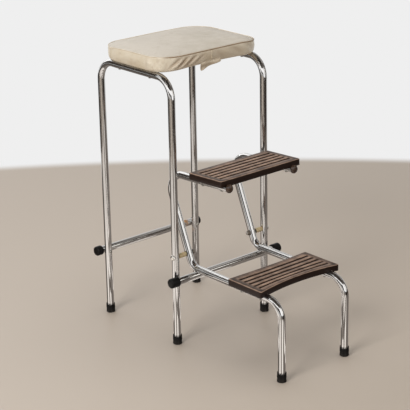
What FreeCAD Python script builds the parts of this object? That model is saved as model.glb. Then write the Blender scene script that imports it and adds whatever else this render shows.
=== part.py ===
import FreeCAD, Part
import math
import os

import Sketcher

# Folding step stool. Millimetres, +Z up. The origin is on the floor, under the middle of the whole stool.
# The front, where the steps come out, is towards -Y, and X runs to the right seen from the front.
# The step unit is drawn swung out, with its feet on the floor.

DRIVING_SIZES = (
    ("tube_diameter", 19, "every tube of the stool, outside"),
    ("tube_wall", 1.2, "steel wall of the tubes"),
    ("seating_gap", 0.1, "between round pieces that are screwed together"),
    ("running_gap", 0.3, "between the step unit and what stands still"),
    ("hole_play", 0.18, "added to a bolt or screw for the diameter of its hole"),
    ("leg_spacing_x", 305, "left to right, leg axis to leg axis"),
    ("leg_spacing_y", 281, "front to back, leg axis to leg axis"),
    ("top_run_height", 699, "axis of the tube run under the seat's edge"),
    ("frame_bend_radius", 50, "axis of the two bends of a side frame"),
    ("front_rail_height", 180, "axis of the cross tube on the front legs"),
    ("rear_rail_height", 175, "axis of the cross tube on the rear legs"),
    ("front_rail_overhang", 22.5, "front cross tube beyond the outside of a leg"),
    ("rear_rail_overhang", 15, "rear cross tube beyond the outside of a leg"),
    ("rail_cap_wall", 3.2, "rubber around the tube"),
    ("rail_cap_end", 3.5, "rubber over the tube's end"),
    ("cap_gap", 0.6, "between a cap's rim and the piece behind it"),
    ("ferrule_height", 21, "rubber foot"),
    ("ferrule_wall", 2.5, "rubber around the leg at the floor"),
    ("ferrule_draft", 0.8, "how much thinner the ferrule's wall is at its top"),
    ("ferrule_floor", 4, "rubber under the leg's end"),
    ("rubber_play", 0.05, "around a tube inside its rubber cap"),
    ("rim_round", 1.6, "bevel of rubber and plastic rims"),
    ("run_over_rail", 5, "lower run above the front cross tube"),
    ("pivot_over_run", 34, "pivot bolts above the axis of the lower run"),
    ("run_rise", 245.6, "axis of the lower run to the front end of the upper run"),
    ("upper_run_tilt", 2.75, "degrees that the upper run rises to the front"),
    ("upright_lean", 22.5, "degrees that the upright leans back"),
    ("step_front_bend", 45, "axis of the bend from the lower run to the step leg"),
    ("step_lower_bend", 32, "axis of the bend under the pivot"),
    ("hairpin_bend", 45, "axis of the bend behind the upper tread"),
    ("tube_cap_sleeve", 5, "plastic cap along the upper run's front end"),
    ("tube_cap_wall", 1.6, "cap around the tube"),
    ("tube_cap_end", 2.5, "cap over the tube's end"),
    ("tread_depth", 120.5, "front to back"),
    ("tread_overhang", 14.5, "tread beyond the outside of its tubes"),
    ("tread_over_tube", 13, "tread surface above the crest of its tubes"),
    ("tread_skirt", 17, "height of the tread's edge"),
    ("tread_deck", 3.6, "thickness of the tread's top"),
    ("tread_wall", 3, "thickness of the tread's skirt"),
    ("tread_corner", 3.5, "corner radius seen from above"),
    ("tread_edge_round", 2.2, "rounding of the top edge"),
    ("upper_tread_reach", 96, "pivot bolts to the middle of the upper tread"),
    ("lower_tread_reach", 235.6, "pivot bolts to the middle of the lower tread"),
    ("lower_front_bow", 16.5, "how far the lower tread's front edge bows back"),
    ("lower_rear_bow", 3.5, "how far the lower tread's rear edge bows forward"),
    ("groove_pitch", 18.3, "groove to groove"),
    ("groove_width", 6.5, "tread grooves"),
    ("groove_depth", 1.8, "tread grooves"),
    ("groove_margin", 17, "tread's side to the end of a groove"),
    ("groove_shift", 1.5, "how far the grooves sit in front of the middle"),
    ("groove_bow_fade", 1.4, "power by which the front grooves' bow dies away towards the middle"),
    ("boss_diameter", 14, "screw bosses under the tread"),
    ("boss_margin", 25.25, "tread's front or rear edge to its screws"),
    ("rib_clearance", 1.9, "tread ribs above the crest of the tubes"),
    ("rib_thickness", 2.4, "stiffening ribs under the deck"),
    ("notch_play", 0.5, "between a tube and the skirt that it passes"),
    ("tread_screw_diameter", 4.2, "tapping screw, shank"),
    ("tread_screw_cover", 0.8, "plastic between the screw's tip and the deck"),
    ("screw_head_diameter", 8.6, "pan head of every screw"),
    ("screw_head_height", 2.8, "pan head of every screw"),
    ("rail_screw_diameter", 5, "machine screw, leg to rail"),
    ("rail_nut_width", 8, "square nut inside the rail"),
    ("rail_nut_height", 3.2, "square nut inside the rail"),
    ("pivot_diameter", 6, "shank of the pivot bolts"),
    ("pivot_head_diameter", 11, "domed head outside the leg"),
    ("pivot_head_height", 3.4, "domed head outside the leg"),
    ("bolt_tail", 2, "bolt or screw beyond its nut"),
    ("spacer_diameter", 12.6, "sleeve between leg and step tube"),
    ("spacer_length", 23.1, "sleeve between leg and step tube"),
    ("washer_diameter", 14, "washers on both sides of the step tube"),
    ("washer_height", 1.5, "washers on both sides of the step tube"),
    ("pivot_nut_width", 10, "hexagon nut, across its flats"),
    ("pivot_nut_height", 5, "hexagon nut"),
    ("seat_overhang", 7.5, "seat beyond the outside of the side frames"),
    ("seat_setback", 10.5, "leg axis to the seat's front or rear edge"),
    ("cushion_corner", 66, "corner radius seen from above"),
    ("cushion_band", 40, "height of the seat's side, up to its seam"),
    ("cushion_crown", 9, "rise of the seat's middle above its seam"),
    ("cushion_tuck", 5, "how far the band tucks in at its lower edge"),
    ("seat_rest_gap", 0.3, "seat above the crest of the tubes"),
    ("board_inset", 7, "seat outline to board outline"),
    ("board_thickness", 12, "plywood"),
    ("board_play", 0.3, "between the board and the cushion around it"),
    ("seat_screw_diameter", 4.5, "wood screw, shank"),
    ("seat_screw_cover", 2.5, "wood above the tip of a seat screw"),
    ("seat_screw_margin", 30.5, "end of a frame bend to the nearest seat screw"),
)

doc = FreeCAD.newDocument("StepStool")
sheet = doc.addObject("Spreadsheet::Sheet", "Sizes")
for row, (alias, number, meaning) in enumerate(DRIVING_SIZES, start=1):
    sheet.set(f"A{row}", str(number))
    sheet.setAlias(f"A{row}", alias)
    sheet.set(f"B{row}", meaning)
doc.recompute()

# Places and sizes that several pieces share, as expressions on the sheet.
# Y is counted from midway between the four main legs until a piece is set down in the stool.
TUBE_R = "(Sizes.tube_diameter / 2)"
BORE_R = "(Sizes.tube_diameter / 2 - Sizes.tube_wall)"
LEG_X = "(Sizes.leg_spacing_x / 2)"
LEG_Y = "(Sizes.leg_spacing_y / 2)"
RAIL_Y = f"({LEG_Y} + Sizes.tube_diameter + Sizes.seating_gap)"
RAIL_ENDS = {
    "front": f"({LEG_X} + {TUBE_R} + Sizes.front_rail_overhang)",
    "rear": f"({LEG_X} + {TUBE_R} + Sizes.rear_rail_overhang)",
}
LEG_TO_SLEEVE_END = "(Sizes.tube_diameter / 2 + Sizes.seating_gap + Sizes.spacer_length)"
LEG_TO_STEP = f"({LEG_TO_SLEEVE_END} + Sizes.washer_height + Sizes.running_gap + {TUBE_R})"
STEP_X = f"({LEG_X} - {LEG_TO_STEP})"
LOWER_RUN_Z = "(Sizes.front_rail_height + Sizes.tube_diameter + Sizes.run_over_rail)"
PIVOT_Z = f"({LOWER_RUN_Z} + Sizes.pivot_over_run)"
UPPER_END_Z = f"({LOWER_RUN_Z} + Sizes.run_rise)"
UPPER_REACH = "(Sizes.upper_tread_reach + Sizes.tread_depth / 2 + Sizes.cap_gap + Sizes.tube_cap_sleeve)"
UPPER_END_Y = f"(-{LEG_Y} - {UPPER_REACH})"
STEP_REACH = "(Sizes.lower_tread_reach + Sizes.tread_depth / 2 + Sizes.cap_gap + Sizes.step_front_bend)"
STEP_FOOT_Y = f"(-{LEG_Y} - {STEP_REACH})"
MIDDLE_Y = f"(({RAIL_Y} + Sizes.rail_cap_wall + {STEP_FOOT_Y} - Sizes.ferrule_wall) / 2)"
LEAN = "tan(Sizes.upright_lean)"
TILT = "tan(Sizes.upper_run_tilt)"
STEP_BEND_Y = f"(-{LEG_Y} - Sizes.pivot_over_run * {LEAN})"
HAIRPIN_Z = f"(({UPPER_END_Z} + {TILT} * ({PIVOT_Z} * {LEAN} - {UPPER_REACH})) / (1 + {TILT} * {LEAN}))"
HAIRPIN_Y = f"(-{LEG_Y} + ({HAIRPIN_Z} - {PIVOT_Z}) * {LEAN})"
TREAD_HALF_X = f"({STEP_X} + {TUBE_R} + Sizes.tread_overhang)"
TREAD_OVER_RUN = f"({TUBE_R} + Sizes.tread_over_tube)"
BOSS_Y = "(Sizes.tread_depth / 2 - Sizes.boss_margin)"
TREAD_SCREW_BITE = "(Sizes.tread_over_tube - Sizes.tread_deck - Sizes.tread_screw_cover)"
SEAT_BOTTOM = f"(Sizes.top_run_height + {TUBE_R} + Sizes.seat_rest_gap)"
SEAT_HALF_X = f"({LEG_X} + {TUBE_R} + Sizes.seat_overhang)"
SEAT_HALF_Y = f"({LEG_Y} - Sizes.seat_setback)"
SEAT_SCREW_Y = f"({LEG_Y} - Sizes.frame_bend_radius - Sizes.seat_screw_margin)"
SEAT_SCREW_BITE = "(Sizes.board_thickness - Sizes.seat_screw_cover)"

X_AXIS = FreeCAD.Vector(1, 0, 0)
Y_AXIS = FreeCAD.Vector(0, 1, 0)
UPRIGHT = FreeCAD.Rotation()
TO_RIGHT = FreeCAD.Rotation(Y_AXIS, 90)
TO_LEFT = FreeCAD.Rotation(Y_AXIS, -90)
TO_BACK = FreeCAD.Rotation(X_AXIS, -90)
TO_FRONT = FreeCAD.Rotation(X_AXIS, 90)

# Points of a shape that are closer than this, in millimetres, are one place.
SAME_PLACE = 1e-6

SIDES = (("left", -1, TO_RIGHT), ("right", 1, TO_LEFT))


def value(expression):
    """The number that an expression on the sheet stands for."""
    return float(sheet.evalExpression(expression))


def new_body(name):
    body = doc.addObject("PartDesign::Body", name)
    body.Label = name
    return body


def put(thing, spot=("0", "0", "0"), turn=UPRIGHT):
    """Turn an object and bind its place to the sheet."""
    thing.Placement = FreeCAD.Placement(FreeCAD.Vector(*(value(part) for part in spot)), turn)
    for letter, part in zip("xyz", spot):
        thing.setExpression(f"Placement.Base.{letter}", part)


def set_down(body, spot, turn=UPRIGHT):
    """Put a body in its place in the stool, counted from the middle of the whole stool."""
    across, back, height = spot
    put(body, (across, f"({back}) - {MIDDLE_Y}", height), turn)


def new_sketch(body, name, role, lift=None):
    """A sketch on one of the body's origin planes, or lifted off it by an expression."""
    sketch = body.newObject("Sketcher::SketchObject", name)
    plane = next(item for item in body.Origin.OriginFeatures if item.Role == role)
    sketch.AttachmentSupport = [(plane, "")]
    sketch.MapMode = "FlatFace"
    if lift:
        sketch.setExpression("AttachmentOffset.Base.z", lift)
    return sketch


def bind(sketch, kind, references, expression):
    """Add one dimension to a sketch and bind it to the sheet."""
    index = sketch.addConstraint(Sketcher.Constraint(kind, *references, value(expression)))
    sketch.setExpression(f"Constraints[{index}]", expression)


def pin(sketch, geometry, point, across, up):
    """Hold one point of a sketch at a place given by two expressions."""
    bind(sketch, "DistanceX", (-1, 1, geometry, point), across)
    bind(sketch, "DistanceY", (-1, 1, geometry, point), up)


def vector(across, up):
    return FreeCAD.Vector(value(across), value(up), 0)


def draw_circle(sketch, radius, across="0", up="0"):
    index = sketch.addGeometry(Part.Circle(vector(across, up), FreeCAD.Vector(0, 0, 1), value(radius)), False)
    pin(sketch, index, 3, across, up)
    bind(sketch, "Radius", (index,), radius)


def ends_in_order(sketch, curve, start):
    """The numbers of a curve's two ends, the one at start first: a sketch may store an arc turned round."""
    from_first = (sketch.getPoint(curve, 1) - start).Length
    from_second = (sketch.getPoint(curve, 2) - start).Length
    return (1, 2) if from_first < from_second else (2, 1)


def draw_outline(sketch, corners, bows=None):
    """A closed outline through corners given as expressions.

    A bow, keyed by the corner that its side starts from, is the middle point of an arc.
    """
    bows = bows or {}
    sides = []
    for index, corner in enumerate(corners):
        after = corners[(index + 1) % len(corners)]
        if index in bows:
            side = sketch.addGeometry(Part.Arc(vector(*corner), vector(*bows[index]), vector(*after)), False)
            middle = sketch.addGeometry(Part.Point(vector(*bows[index])), True)
            pin(sketch, middle, 1, *bows[index])
            sketch.addConstraint(Sketcher.Constraint("PointOnObject", middle, 1, side))
        else:
            side = sketch.addGeometry(Part.LineSegment(vector(*corner), vector(*after)), False)
        sides.append((side, *ends_in_order(sketch, side, vector(*corner))))
    for index, (side, start, _) in enumerate(sides):
        before, _, end = sides[index - 1]
        sketch.addConstraint(Sketcher.Constraint("Coincident", before, end, side, start))
        pin(sketch, side, start, *corners[index])


def draw_rounded_rectangle(sketch, half_x, half_y, radius):
    """Four lines and four corner arcs around the origin."""
    right, top, round_off = value(half_x), value(half_y), value(radius)
    quarter = math.pi / 2
    arcs = []
    for turn, (across, up) in enumerate(((1, 1), (-1, 1), (-1, -1), (1, -1))):
        centre = FreeCAD.Vector(across * (right - round_off), up * (top - round_off), 0)
        circle = Part.Circle(centre, FreeCAD.Vector(0, 0, 1), round_off)
        arc = sketch.addGeometry(Part.ArcOfCircle(circle, turn * quarter, (turn + 1) * quarter), False)
        pin(sketch, arc, 3, f"{across} * (({half_x}) - ({radius}))", f"{up} * (({half_y}) - ({radius}))")
        arcs.append(arc)
    bind(sketch, "Radius", (arcs[0],), radius)
    for arc in arcs[1:]:
        sketch.addConstraint(Sketcher.Constraint("Equal", arcs[0], arc))
    for turn, arc in enumerate(arcs):
        after = arcs[(turn + 1) % 4]
        start = sketch.getPoint(arc, 2)
        end = sketch.getPoint(after, 1)
        line = sketch.addGeometry(Part.LineSegment(start, end), False)
        sketch.addConstraint(Sketcher.Constraint("Tangent", arc, 2, line, 1))
        sketch.addConstraint(Sketcher.Constraint("Tangent", line, 2, after, 1))


def pad(body, sketch, length, both_ways=False, downward=False):
    feature = body.newObject("PartDesign::Pad", f"{sketch.Name}_pad")
    feature.Profile = sketch
    feature.setExpression("Length", length)
    feature.SideType = "Symmetric" if both_ways else "One side"
    feature.Reversed = downward
    doc.recompute()
    return feature


def pocket(body, sketch, depth, upward=False):
    """Cut a sketch into the body, against the sketch's normal or along it."""
    before = body.Shape.Volume
    feature = body.newObject("PartDesign::Pocket", f"{sketch.Name}_pocket")
    feature.Profile = sketch
    feature.setExpression("Length", depth)
    feature.Reversed = upward
    doc.recompute()
    if feature.Shape.Volume >= before:
        raise RuntimeError(f"{body.Label}: {sketch.Name} cuts nothing")
    return feature


def drill(body, name, diameter, depth, spot, turn=UPRIGHT):
    """A round hole that starts at spot and runs along the turned Z axis."""
    before = body.Shape.Volume
    hole = body.newObject("PartDesign::SubtractiveCylinder", name)
    hole.setExpression("Radius", f"({diameter}) / 2")
    hole.setExpression("Height", depth)
    put(hole, spot, turn)
    doc.recompute()
    if hole.Shape.Volume >= before:
        raise RuntimeError(f"{body.Label}: {name} cuts nothing")


def turned(name, section, spot, turn=UPRIGHT):
    """A lathe-turned piece: section points are (radius, height) expressions, around the body's Z axis."""
    body = new_body(name)
    sketch = new_sketch(body, f"{name}_section", "XZ_Plane")
    draw_outline(sketch, section)
    feature = body.newObject("PartDesign::Revolution", f"{name}_turned")
    feature.Profile = sketch
    feature.ReferenceAxis = (sketch, ["V_Axis"])
    set_down(body, spot, turn)
    doc.recompute()
    return body


def group(name, members):
    """Like fasteners, kept as one sub-part of separate solids."""
    bundle = doc.addObject("Part::Compound", name)
    bundle.Links = members
    bundle.Label = name
    return bundle


def bent_tube(name, corners, radii):
    """A hollow tube along a bent line in the YZ plane that leaves the floor upright.

    The line runs through corners, given as expressions, and each inner corner is rounded by a radius.
    """
    body = new_body(name)
    path = new_sketch(body, f"{name}_path", "YZ_Plane")
    guides = []
    for start, end in zip(corners, corners[1:]):
        guides.append(path.addGeometry(Part.LineSegment(vector(*start), vector(*end)), True))
    for index, guide in enumerate(guides):
        pin(path, guide, 1, *corners[index])
        if index:
            path.addConstraint(Sketcher.Constraint("Coincident", guides[index - 1], 2, guide, 1))
    pin(path, guides[-1], 2, *corners[-1])

    # Each bend is drawn where it belongs. Its tangent lines, which lie on the guides, hold it there.
    ends = [vector(*corners[0])]
    bends = []
    for before, corner, after, radius in zip(corners, corners[1:], corners[2:], radii):
        tip = vector(*corner)
        back = (vector(*before) - tip).normalize()
        ahead = (vector(*after) - tip).normalize()
        half_angle = back.getAngle(ahead) / 2
        along = value(radius) / math.tan(half_angle)
        inward = (back + ahead).normalize()
        nearest = tip + inward * (value(radius) / math.sin(half_angle) - value(radius))
        entry = tip + back * along
        leave = tip + ahead * along
        bend = path.addGeometry(Part.Arc(entry, nearest, leave), False)
        bind(path, "Radius", (bend,), radius)
        bends.append((bend, *ends_in_order(path, bend, entry)))
        ends += [entry, leave]
    ends.append(vector(*corners[-1]))
    for index, guide in enumerate(guides):
        run = path.addGeometry(Part.LineSegment(ends[2 * index], ends[2 * index + 1]), False)
        if index:
            bend, _, leave_end = bends[index - 1]
            path.addConstraint(Sketcher.Constraint("Tangent", bend, leave_end, run, 1))
            path.addConstraint(Sketcher.Constraint("PointOnObject", run, 1, guide))
        else:
            path.addConstraint(Sketcher.Constraint("Coincident", run, 1, guide, 1))
        if index < len(bends):
            bend, entry_end, _ = bends[index]
            path.addConstraint(Sketcher.Constraint("Tangent", run, 2, bend, entry_end))
            path.addConstraint(Sketcher.Constraint("PointOnObject", run, 2, guide))
        else:
            path.addConstraint(Sketcher.Constraint("Coincident", run, 2, guide, 2))
    doc.recompute()

    profile = new_sketch(body, f"{name}_profile", "XY_Plane", corners[0][1])
    draw_circle(profile, TUBE_R, "0", corners[0][0])
    draw_circle(profile, BORE_R, "0", corners[0][0])
    sweep = body.newObject("PartDesign::AdditivePipe", f"{name}_sweep")
    sweep.Profile = profile
    sweep.Spine = (path, [])
    doc.recompute()
    return body


def make_side_frame(side, sign):
    """One tube bent into an upside-down U: rear leg, run under the seat's edge, front leg."""
    corners = (
        (LEG_Y, "Sizes.ferrule_floor"),
        (LEG_Y, "Sizes.top_run_height"),
        (f"-{LEG_Y}", "Sizes.top_run_height"),
        (f"-{LEG_Y}", "Sizes.ferrule_floor"),
    )
    frame = bent_tube(f"{side}_side_frame", corners, ("Sizes.frame_bend_radius",) * 2)
    through = "Sizes.tube_diameter * 2"
    drill(
        frame, f"{side}_pivot_hole", "Sizes.pivot_diameter + Sizes.hole_play", through,
        ("-Sizes.tube_diameter", f"-{LEG_Y}", PIVOT_Z), TO_RIGHT,
    )
    for place, front in (("front", -1), ("rear", 1)):
        drill(
            frame, f"{side}_{place}_rail_hole", "Sizes.rail_screw_diameter + Sizes.hole_play", through,
            ("0", f"{front} * {LEG_Y} - Sizes.tube_diameter", f"Sizes.{place}_rail_height"), TO_BACK,
        )
    for end in (-1, 1):
        drill(
            frame, f"{side}_seat_hole", "Sizes.seat_screw_diameter + Sizes.hole_play", through,
            ("0", f"{end} * {SEAT_SCREW_Y}", "Sizes.top_run_height - Sizes.tube_diameter"),
        )
    set_down(frame, (f"{sign} * {LEG_X}", "0", "0"))


def make_rail(place, front, height):
    """A straight cross tube, screwed to the outer face of two legs."""
    rail = new_body(f"{place}_cross_rail")
    section = new_sketch(rail, f"{place}_rail_section", "YZ_Plane")
    draw_circle(section, TUBE_R)
    draw_circle(section, BORE_R)
    pad(rail, section, f"2 * {RAIL_ENDS[place]}", both_ways=True)
    for sign in (-1, 1):
        drill(
            rail, f"{place}_rail_screw_hole", "Sizes.rail_screw_diameter + Sizes.hole_play", TUBE_R,
            (f"{sign} * {LEG_X}", "0", "0"), TO_BACK if front < 0 else TO_FRONT,
        )
    set_down(rail, ("0", f"{front} * {RAIL_Y}", height))


def cap_section(length, wall, end, draft="0"):
    """Half of a rubber cap: closed at the bottom, open at the top, with a bevelled rim."""
    outside = f"({TUBE_R} + {wall})"
    bore = f"({TUBE_R} + Sizes.rubber_play)"
    return (
        ("0", "0"),
        (f"{outside} - Sizes.rim_round", "0"),
        (outside, "Sizes.rim_round"),
        (f"{outside} - {draft}", length),
        (bore, length),
        (bore, end),
        ("0", end),
    )


def make_ferrule(name, across, back):
    """The rubber foot that a leg stands in."""
    size = "Sizes.ferrule_"
    section = cap_section(f"{size}height", f"{size}wall", f"{size}floor", f"{size}draft")
    turned(name, section, (across, back, "0"))


def make_rail_cap(place, side, sign, front, turn):
    """The rubber cap on one end of a cross tube."""
    length = f"(Sizes.rail_cap_end + Sizes.{place}_rail_overhang - Sizes.cap_gap)"
    section = cap_section(length, "Sizes.rail_cap_wall", "Sizes.rail_cap_end")
    end = f"{sign} * ({RAIL_ENDS[place]} + Sizes.rail_cap_end)"
    spot = (end, f"{front} * {RAIL_Y}", f"Sizes.{place}_rail_height")
    turned(f"{place}_rail_cap_{side}", section, spot, turn)


def screw_section(diameter, length):
    """Half of a pan-head screw: the shank runs up from z 0 and the head lies below it."""
    head = "Sizes.screw_head_diameter / 2"
    drop = "Sizes.screw_head_height"
    shank = f"{diameter} / 2"
    return (
        ("0", f"-{drop}"),
        (f"{head} - {drop} / 3", f"-{drop}"),
        (head, f"-{drop} / 2"),
        (head, "0"),
        (shank, "0"),
        (shank, f"{length} - {shank}"),
        ("0", length),
    )


def make_rail_fixings():
    """Machine screws through each leg into a square nut inside the rail, at the four crossings."""
    nut_reach = f"(sqrt(pow({BORE_R}; 2) - pow(Sizes.rail_nut_width / 2; 2)) - Sizes.seating_gap)"
    leg_and_rail = f"(Sizes.tube_diameter + Sizes.seating_gap * 2 + {TUBE_R} - {nut_reach})"
    length = f"({leg_and_rail} + Sizes.rail_nut_height + Sizes.bolt_tail)"
    screws = []
    nuts = []
    for front, height in ((-1, "Sizes.front_rail_height"), (1, "Sizes.rear_rail_height")):
        outward = TO_FRONT if front < 0 else TO_BACK
        for side, sign, _ in SIDES:
            place = f"{side}_{'front' if front < 0 else 'rear'}"
            across = f"{sign} * {LEG_X}"
            head_seat = f"{front} * ({LEG_Y} - {TUBE_R} - Sizes.seating_gap)"
            section = screw_section("Sizes.rail_screw_diameter", length)
            screws.append(turned(f"{place}_rail_screw", section, (across, head_seat, height), outward))
            nut = new_body(f"{place}_rail_nut")
            square = new_sketch(nut, f"{place}_rail_nut_square", "XY_Plane")
            plus = "Sizes.rail_nut_width / 2"
            minus = "-Sizes.rail_nut_width / 2"
            draw_outline(square, ((minus, minus), (plus, minus), (plus, plus), (minus, plus)))
            draw_circle(square, "(Sizes.rail_screw_diameter + Sizes.hole_play) / 2")
            pad(nut, square, "Sizes.rail_nut_height")
            set_down(nut, (across, f"{front} * ({RAIL_Y} - {nut_reach})", height), outward)
            nuts.append(nut)
    group("rail_screws", screws)
    group("rail_nuts", nuts)


def make_seat_board():
    """The plywood base inside the upholstery, with blind pilot holes from below."""
    board = new_body("seat_board")
    outline = new_sketch(board, "board_outline", "XY_Plane")
    inset = "Sizes.board_inset"
    draw_rounded_rectangle(
        outline, f"{SEAT_HALF_X} - {inset}", f"{SEAT_HALF_Y} - {inset}", f"Sizes.cushion_corner - {inset}",
    )
    pad(board, outline, "Sizes.board_thickness")
    for sign in (-1, 1):
        for end in (-1, 1):
            drill(
                board, "pilot_hole", "Sizes.seat_screw_diameter + Sizes.hole_play",
                f"{SEAT_SCREW_BITE} + Sizes.seat_screw_cover / 3",
                (f"{sign} * {LEG_X}", f"{end} * {SEAT_SCREW_Y}", "0"),
            )
    set_down(board, ("0", "0", SEAT_BOTTOM))


def make_seat_cushion():
    """Foam in its vinyl cover: a boxed band that tucks in below, a seam and a crowned top."""
    cushion = new_body("seat_cushion")
    band = "Sizes.cushion_band"
    crown = "Sizes.cushion_crown"
    tuck = "Sizes.cushion_tuck"
    corner = "Sizes.cushion_corner"
    # Each level is its inset from the outline and its height: a band that bulges, then a shallow dome.
    levels = (
        (tuck, "0"),
        (f"{tuck} * 0.2", f"{band} * 0.1"),
        ("0", f"{band} * 0.4"),
        ("0", f"{band} * 0.8"),
        (f"{corner} * 0.02", band),
        (f"{corner} * 0.2", f"{band} + {crown} * 0.42"),
        (f"{corner} * 0.5", f"{band} + {crown} * 0.78"),
        (f"{corner} * 0.88", f"{band} + {crown}"),
    )
    sketches = []
    for number, (inset, height) in enumerate(levels):
        level = new_sketch(cushion, f"cushion_level_{number}", "XY_Plane", height)
        half_x = f"{SEAT_HALF_X} - {inset}"
        half_y = f"{SEAT_HALF_Y} - {inset}"
        draw_rounded_rectangle(level, half_x, half_y, f"{corner} - {inset}")
        sketches.append(level)
    doc.recompute()
    loft = cushion.newObject("PartDesign::AdditiveLoft", "cushion_form")
    loft.Profile = sketches[0]
    loft.Sections = sketches[1:]
    loft.Ruled = True
    doc.recompute()
    opening = new_sketch(cushion, "board_recess", "XY_Plane")
    wall = "(Sizes.board_inset - Sizes.board_play)"
    half_x = f"{SEAT_HALF_X} - {wall}"
    half_y = f"{SEAT_HALF_Y} - {wall}"
    draw_rounded_rectangle(opening, half_x, half_y, f"{corner} - {wall}")
    pocket(cushion, opening, "Sizes.board_thickness", upward=True)
    set_down(cushion, ("0", "0", SEAT_BOTTOM))


def make_seat_screws():
    """Wood screws from below, through the tube runs into the board."""
    length = f"(Sizes.tube_diameter + Sizes.seat_rest_gap + {SEAT_SCREW_BITE} + Sizes.seating_gap)"
    head_seat = f"Sizes.top_run_height - {TUBE_R} - Sizes.seating_gap"
    screws = []
    for side, sign, _ in SIDES:
        for place, end in (("front", -1), ("rear", 1)):
            spot = (f"{sign} * {LEG_X}", f"{end} * {SEAT_SCREW_Y}", head_seat)
            section = screw_section("Sizes.seat_screw_diameter", length)
            screws.append(turned(f"{side}_{place}_seat_screw", section, spot))
    group("seat_screws", screws)


def make_pivot(side, sign, inward):
    """Bolt, sleeve, washers and nut that one step tube swings on, along the bolt from the leg inward."""
    def spot(inward_distance):
        return (f"{sign} * ({LEG_X} - ({inward_distance}))", f"-{LEG_Y}", PIVOT_Z)

    clear = "(Sizes.pivot_diameter + Sizes.hole_play) / 2"
    washer = "Sizes.washer_height"
    tube_outer = f"({LEG_TO_STEP} - {TUBE_R} - Sizes.running_gap)"
    tube_inner = f"({LEG_TO_STEP} + {TUBE_R} + Sizes.running_gap)"
    sleeve_start = f"({TUBE_R} + Sizes.seating_gap)"
    nut_start = f"({tube_inner} + {washer})"
    head_seat = f"(-{TUBE_R} - Sizes.seating_gap)"

    head = "Sizes.pivot_head_diameter / 2"
    rise = "Sizes.pivot_head_height"
    shank = "Sizes.pivot_diameter / 2"
    length = f"({nut_start} + Sizes.pivot_nut_height + Sizes.bolt_tail - {head_seat})"
    chamfer = "Sizes.bolt_tail / 2"
    # The head is a low dome.
    bolt = (
        ("0", f"-{rise}"),
        (f"{head} * 0.45", f"-{rise} * 0.9"),
        (f"{head} * 0.8", f"-{rise} * 0.6"),
        (head, f"-{rise} * 0.15"),
        (head, "0"),
        (shank, "0"),
        (shank, f"{length} - {chamfer}"),
        (f"{shank} - {chamfer}", length),
        ("0", length),
    )
    turned(f"pivot_bolt_{side}", bolt, spot(head_seat), inward)

    def ring(name, start, end, outside):
        section = ((clear, "0"), (outside, "0"), (outside, f"{end} - {start}"), (clear, f"{end} - {start}"))
        return turned(name, section, spot(start), inward)

    outer_washer_start = f"({tube_outer} - {washer})"
    ring(f"pivot_spacer_{side}", sleeve_start, outer_washer_start, "Sizes.spacer_diameter / 2")
    washers = [
        ring(f"outer_pivot_washer_{side}", outer_washer_start, tube_outer, "Sizes.washer_diameter / 2"),
        ring(f"inner_pivot_washer_{side}", tube_inner, nut_start, "Sizes.washer_diameter / 2"),
    ]
    group(f"pivot_washers_{side}", washers)

    nut = new_body(f"pivot_nut_{side}")
    hexagon = new_sketch(nut, f"pivot_nut_{side}_hexagon", "XY_Plane")
    across_corners = "Sizes.pivot_nut_width / 2 / cos(30)"
    corners = []
    for corner in range(6):
        corners.append((f"{across_corners} * cos({corner * 60})", f"{across_corners} * sin({corner * 60})"))
    draw_outline(hexagon, corners)
    draw_circle(hexagon, clear)
    pad(nut, hexagon, "Sizes.pivot_nut_height")
    set_down(nut, spot(nut_start), inward)


def tread_frame(which, across="0", back="0", above="0"):
    """Where a tread's own frame stands: its origin is the middle of the tread's top."""
    if which == "lower":
        tilt = "0"
        reach = "Sizes.lower_tread_reach"
        run_height = LOWER_RUN_Z
    else:
        tilt = "Sizes.upper_run_tilt"
        reach = "Sizes.upper_tread_reach"
        run_height = f"({UPPER_END_Z} - {TILT} * ({UPPER_REACH} - {reach}))"
    up = f"({TREAD_OVER_RUN} + {above})"
    spot = (
        across,
        f"-{LEG_Y} - {reach} + {up} * sin({tilt}) + ({back}) * cos({tilt})",
        f"{run_height} + {up} * cos({tilt}) - ({back}) * sin({tilt})",
    )
    return spot, FreeCAD.Rotation(X_AXIS, -value(tilt))


def make_step_tube(side, sign):
    """One S-shaped tube: leg, lower run, upright with its pivot hole, hairpin and upper run."""
    corners = (
        (STEP_FOOT_Y, "Sizes.ferrule_floor"),
        (STEP_FOOT_Y, LOWER_RUN_Z),
        (STEP_BEND_Y, LOWER_RUN_Z),
        (HAIRPIN_Y, HAIRPIN_Z),
        (UPPER_END_Y, UPPER_END_Z),
    )
    radii = ("Sizes.step_front_bend", "Sizes.step_lower_bend", "Sizes.hairpin_bend")
    tube = bent_tube(f"step_tube_{side}", corners, radii)
    drill(
        tube, f"{side}_swing_hole", "Sizes.pivot_diameter + Sizes.hole_play", "Sizes.tube_diameter * 2",
        ("-Sizes.tube_diameter", f"-{LEG_Y}", PIVOT_Z), TO_RIGHT,
    )
    for which in ("lower", "upper"):
        for end in (-1, 1):
            below = f"(-{TREAD_OVER_RUN} - Sizes.tube_diameter)"
            spot, turn = tread_frame(which, "0", f"{end} * {BOSS_Y}", below)
            drill(
                tube, f"{side}_{which}_tread_hole", "Sizes.tread_screw_diameter + Sizes.hole_play",
                "Sizes.tube_diameter * 2", spot, turn,
            )
    set_down(tube, (f"{sign} * {STEP_X}", "0", "0"))


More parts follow.
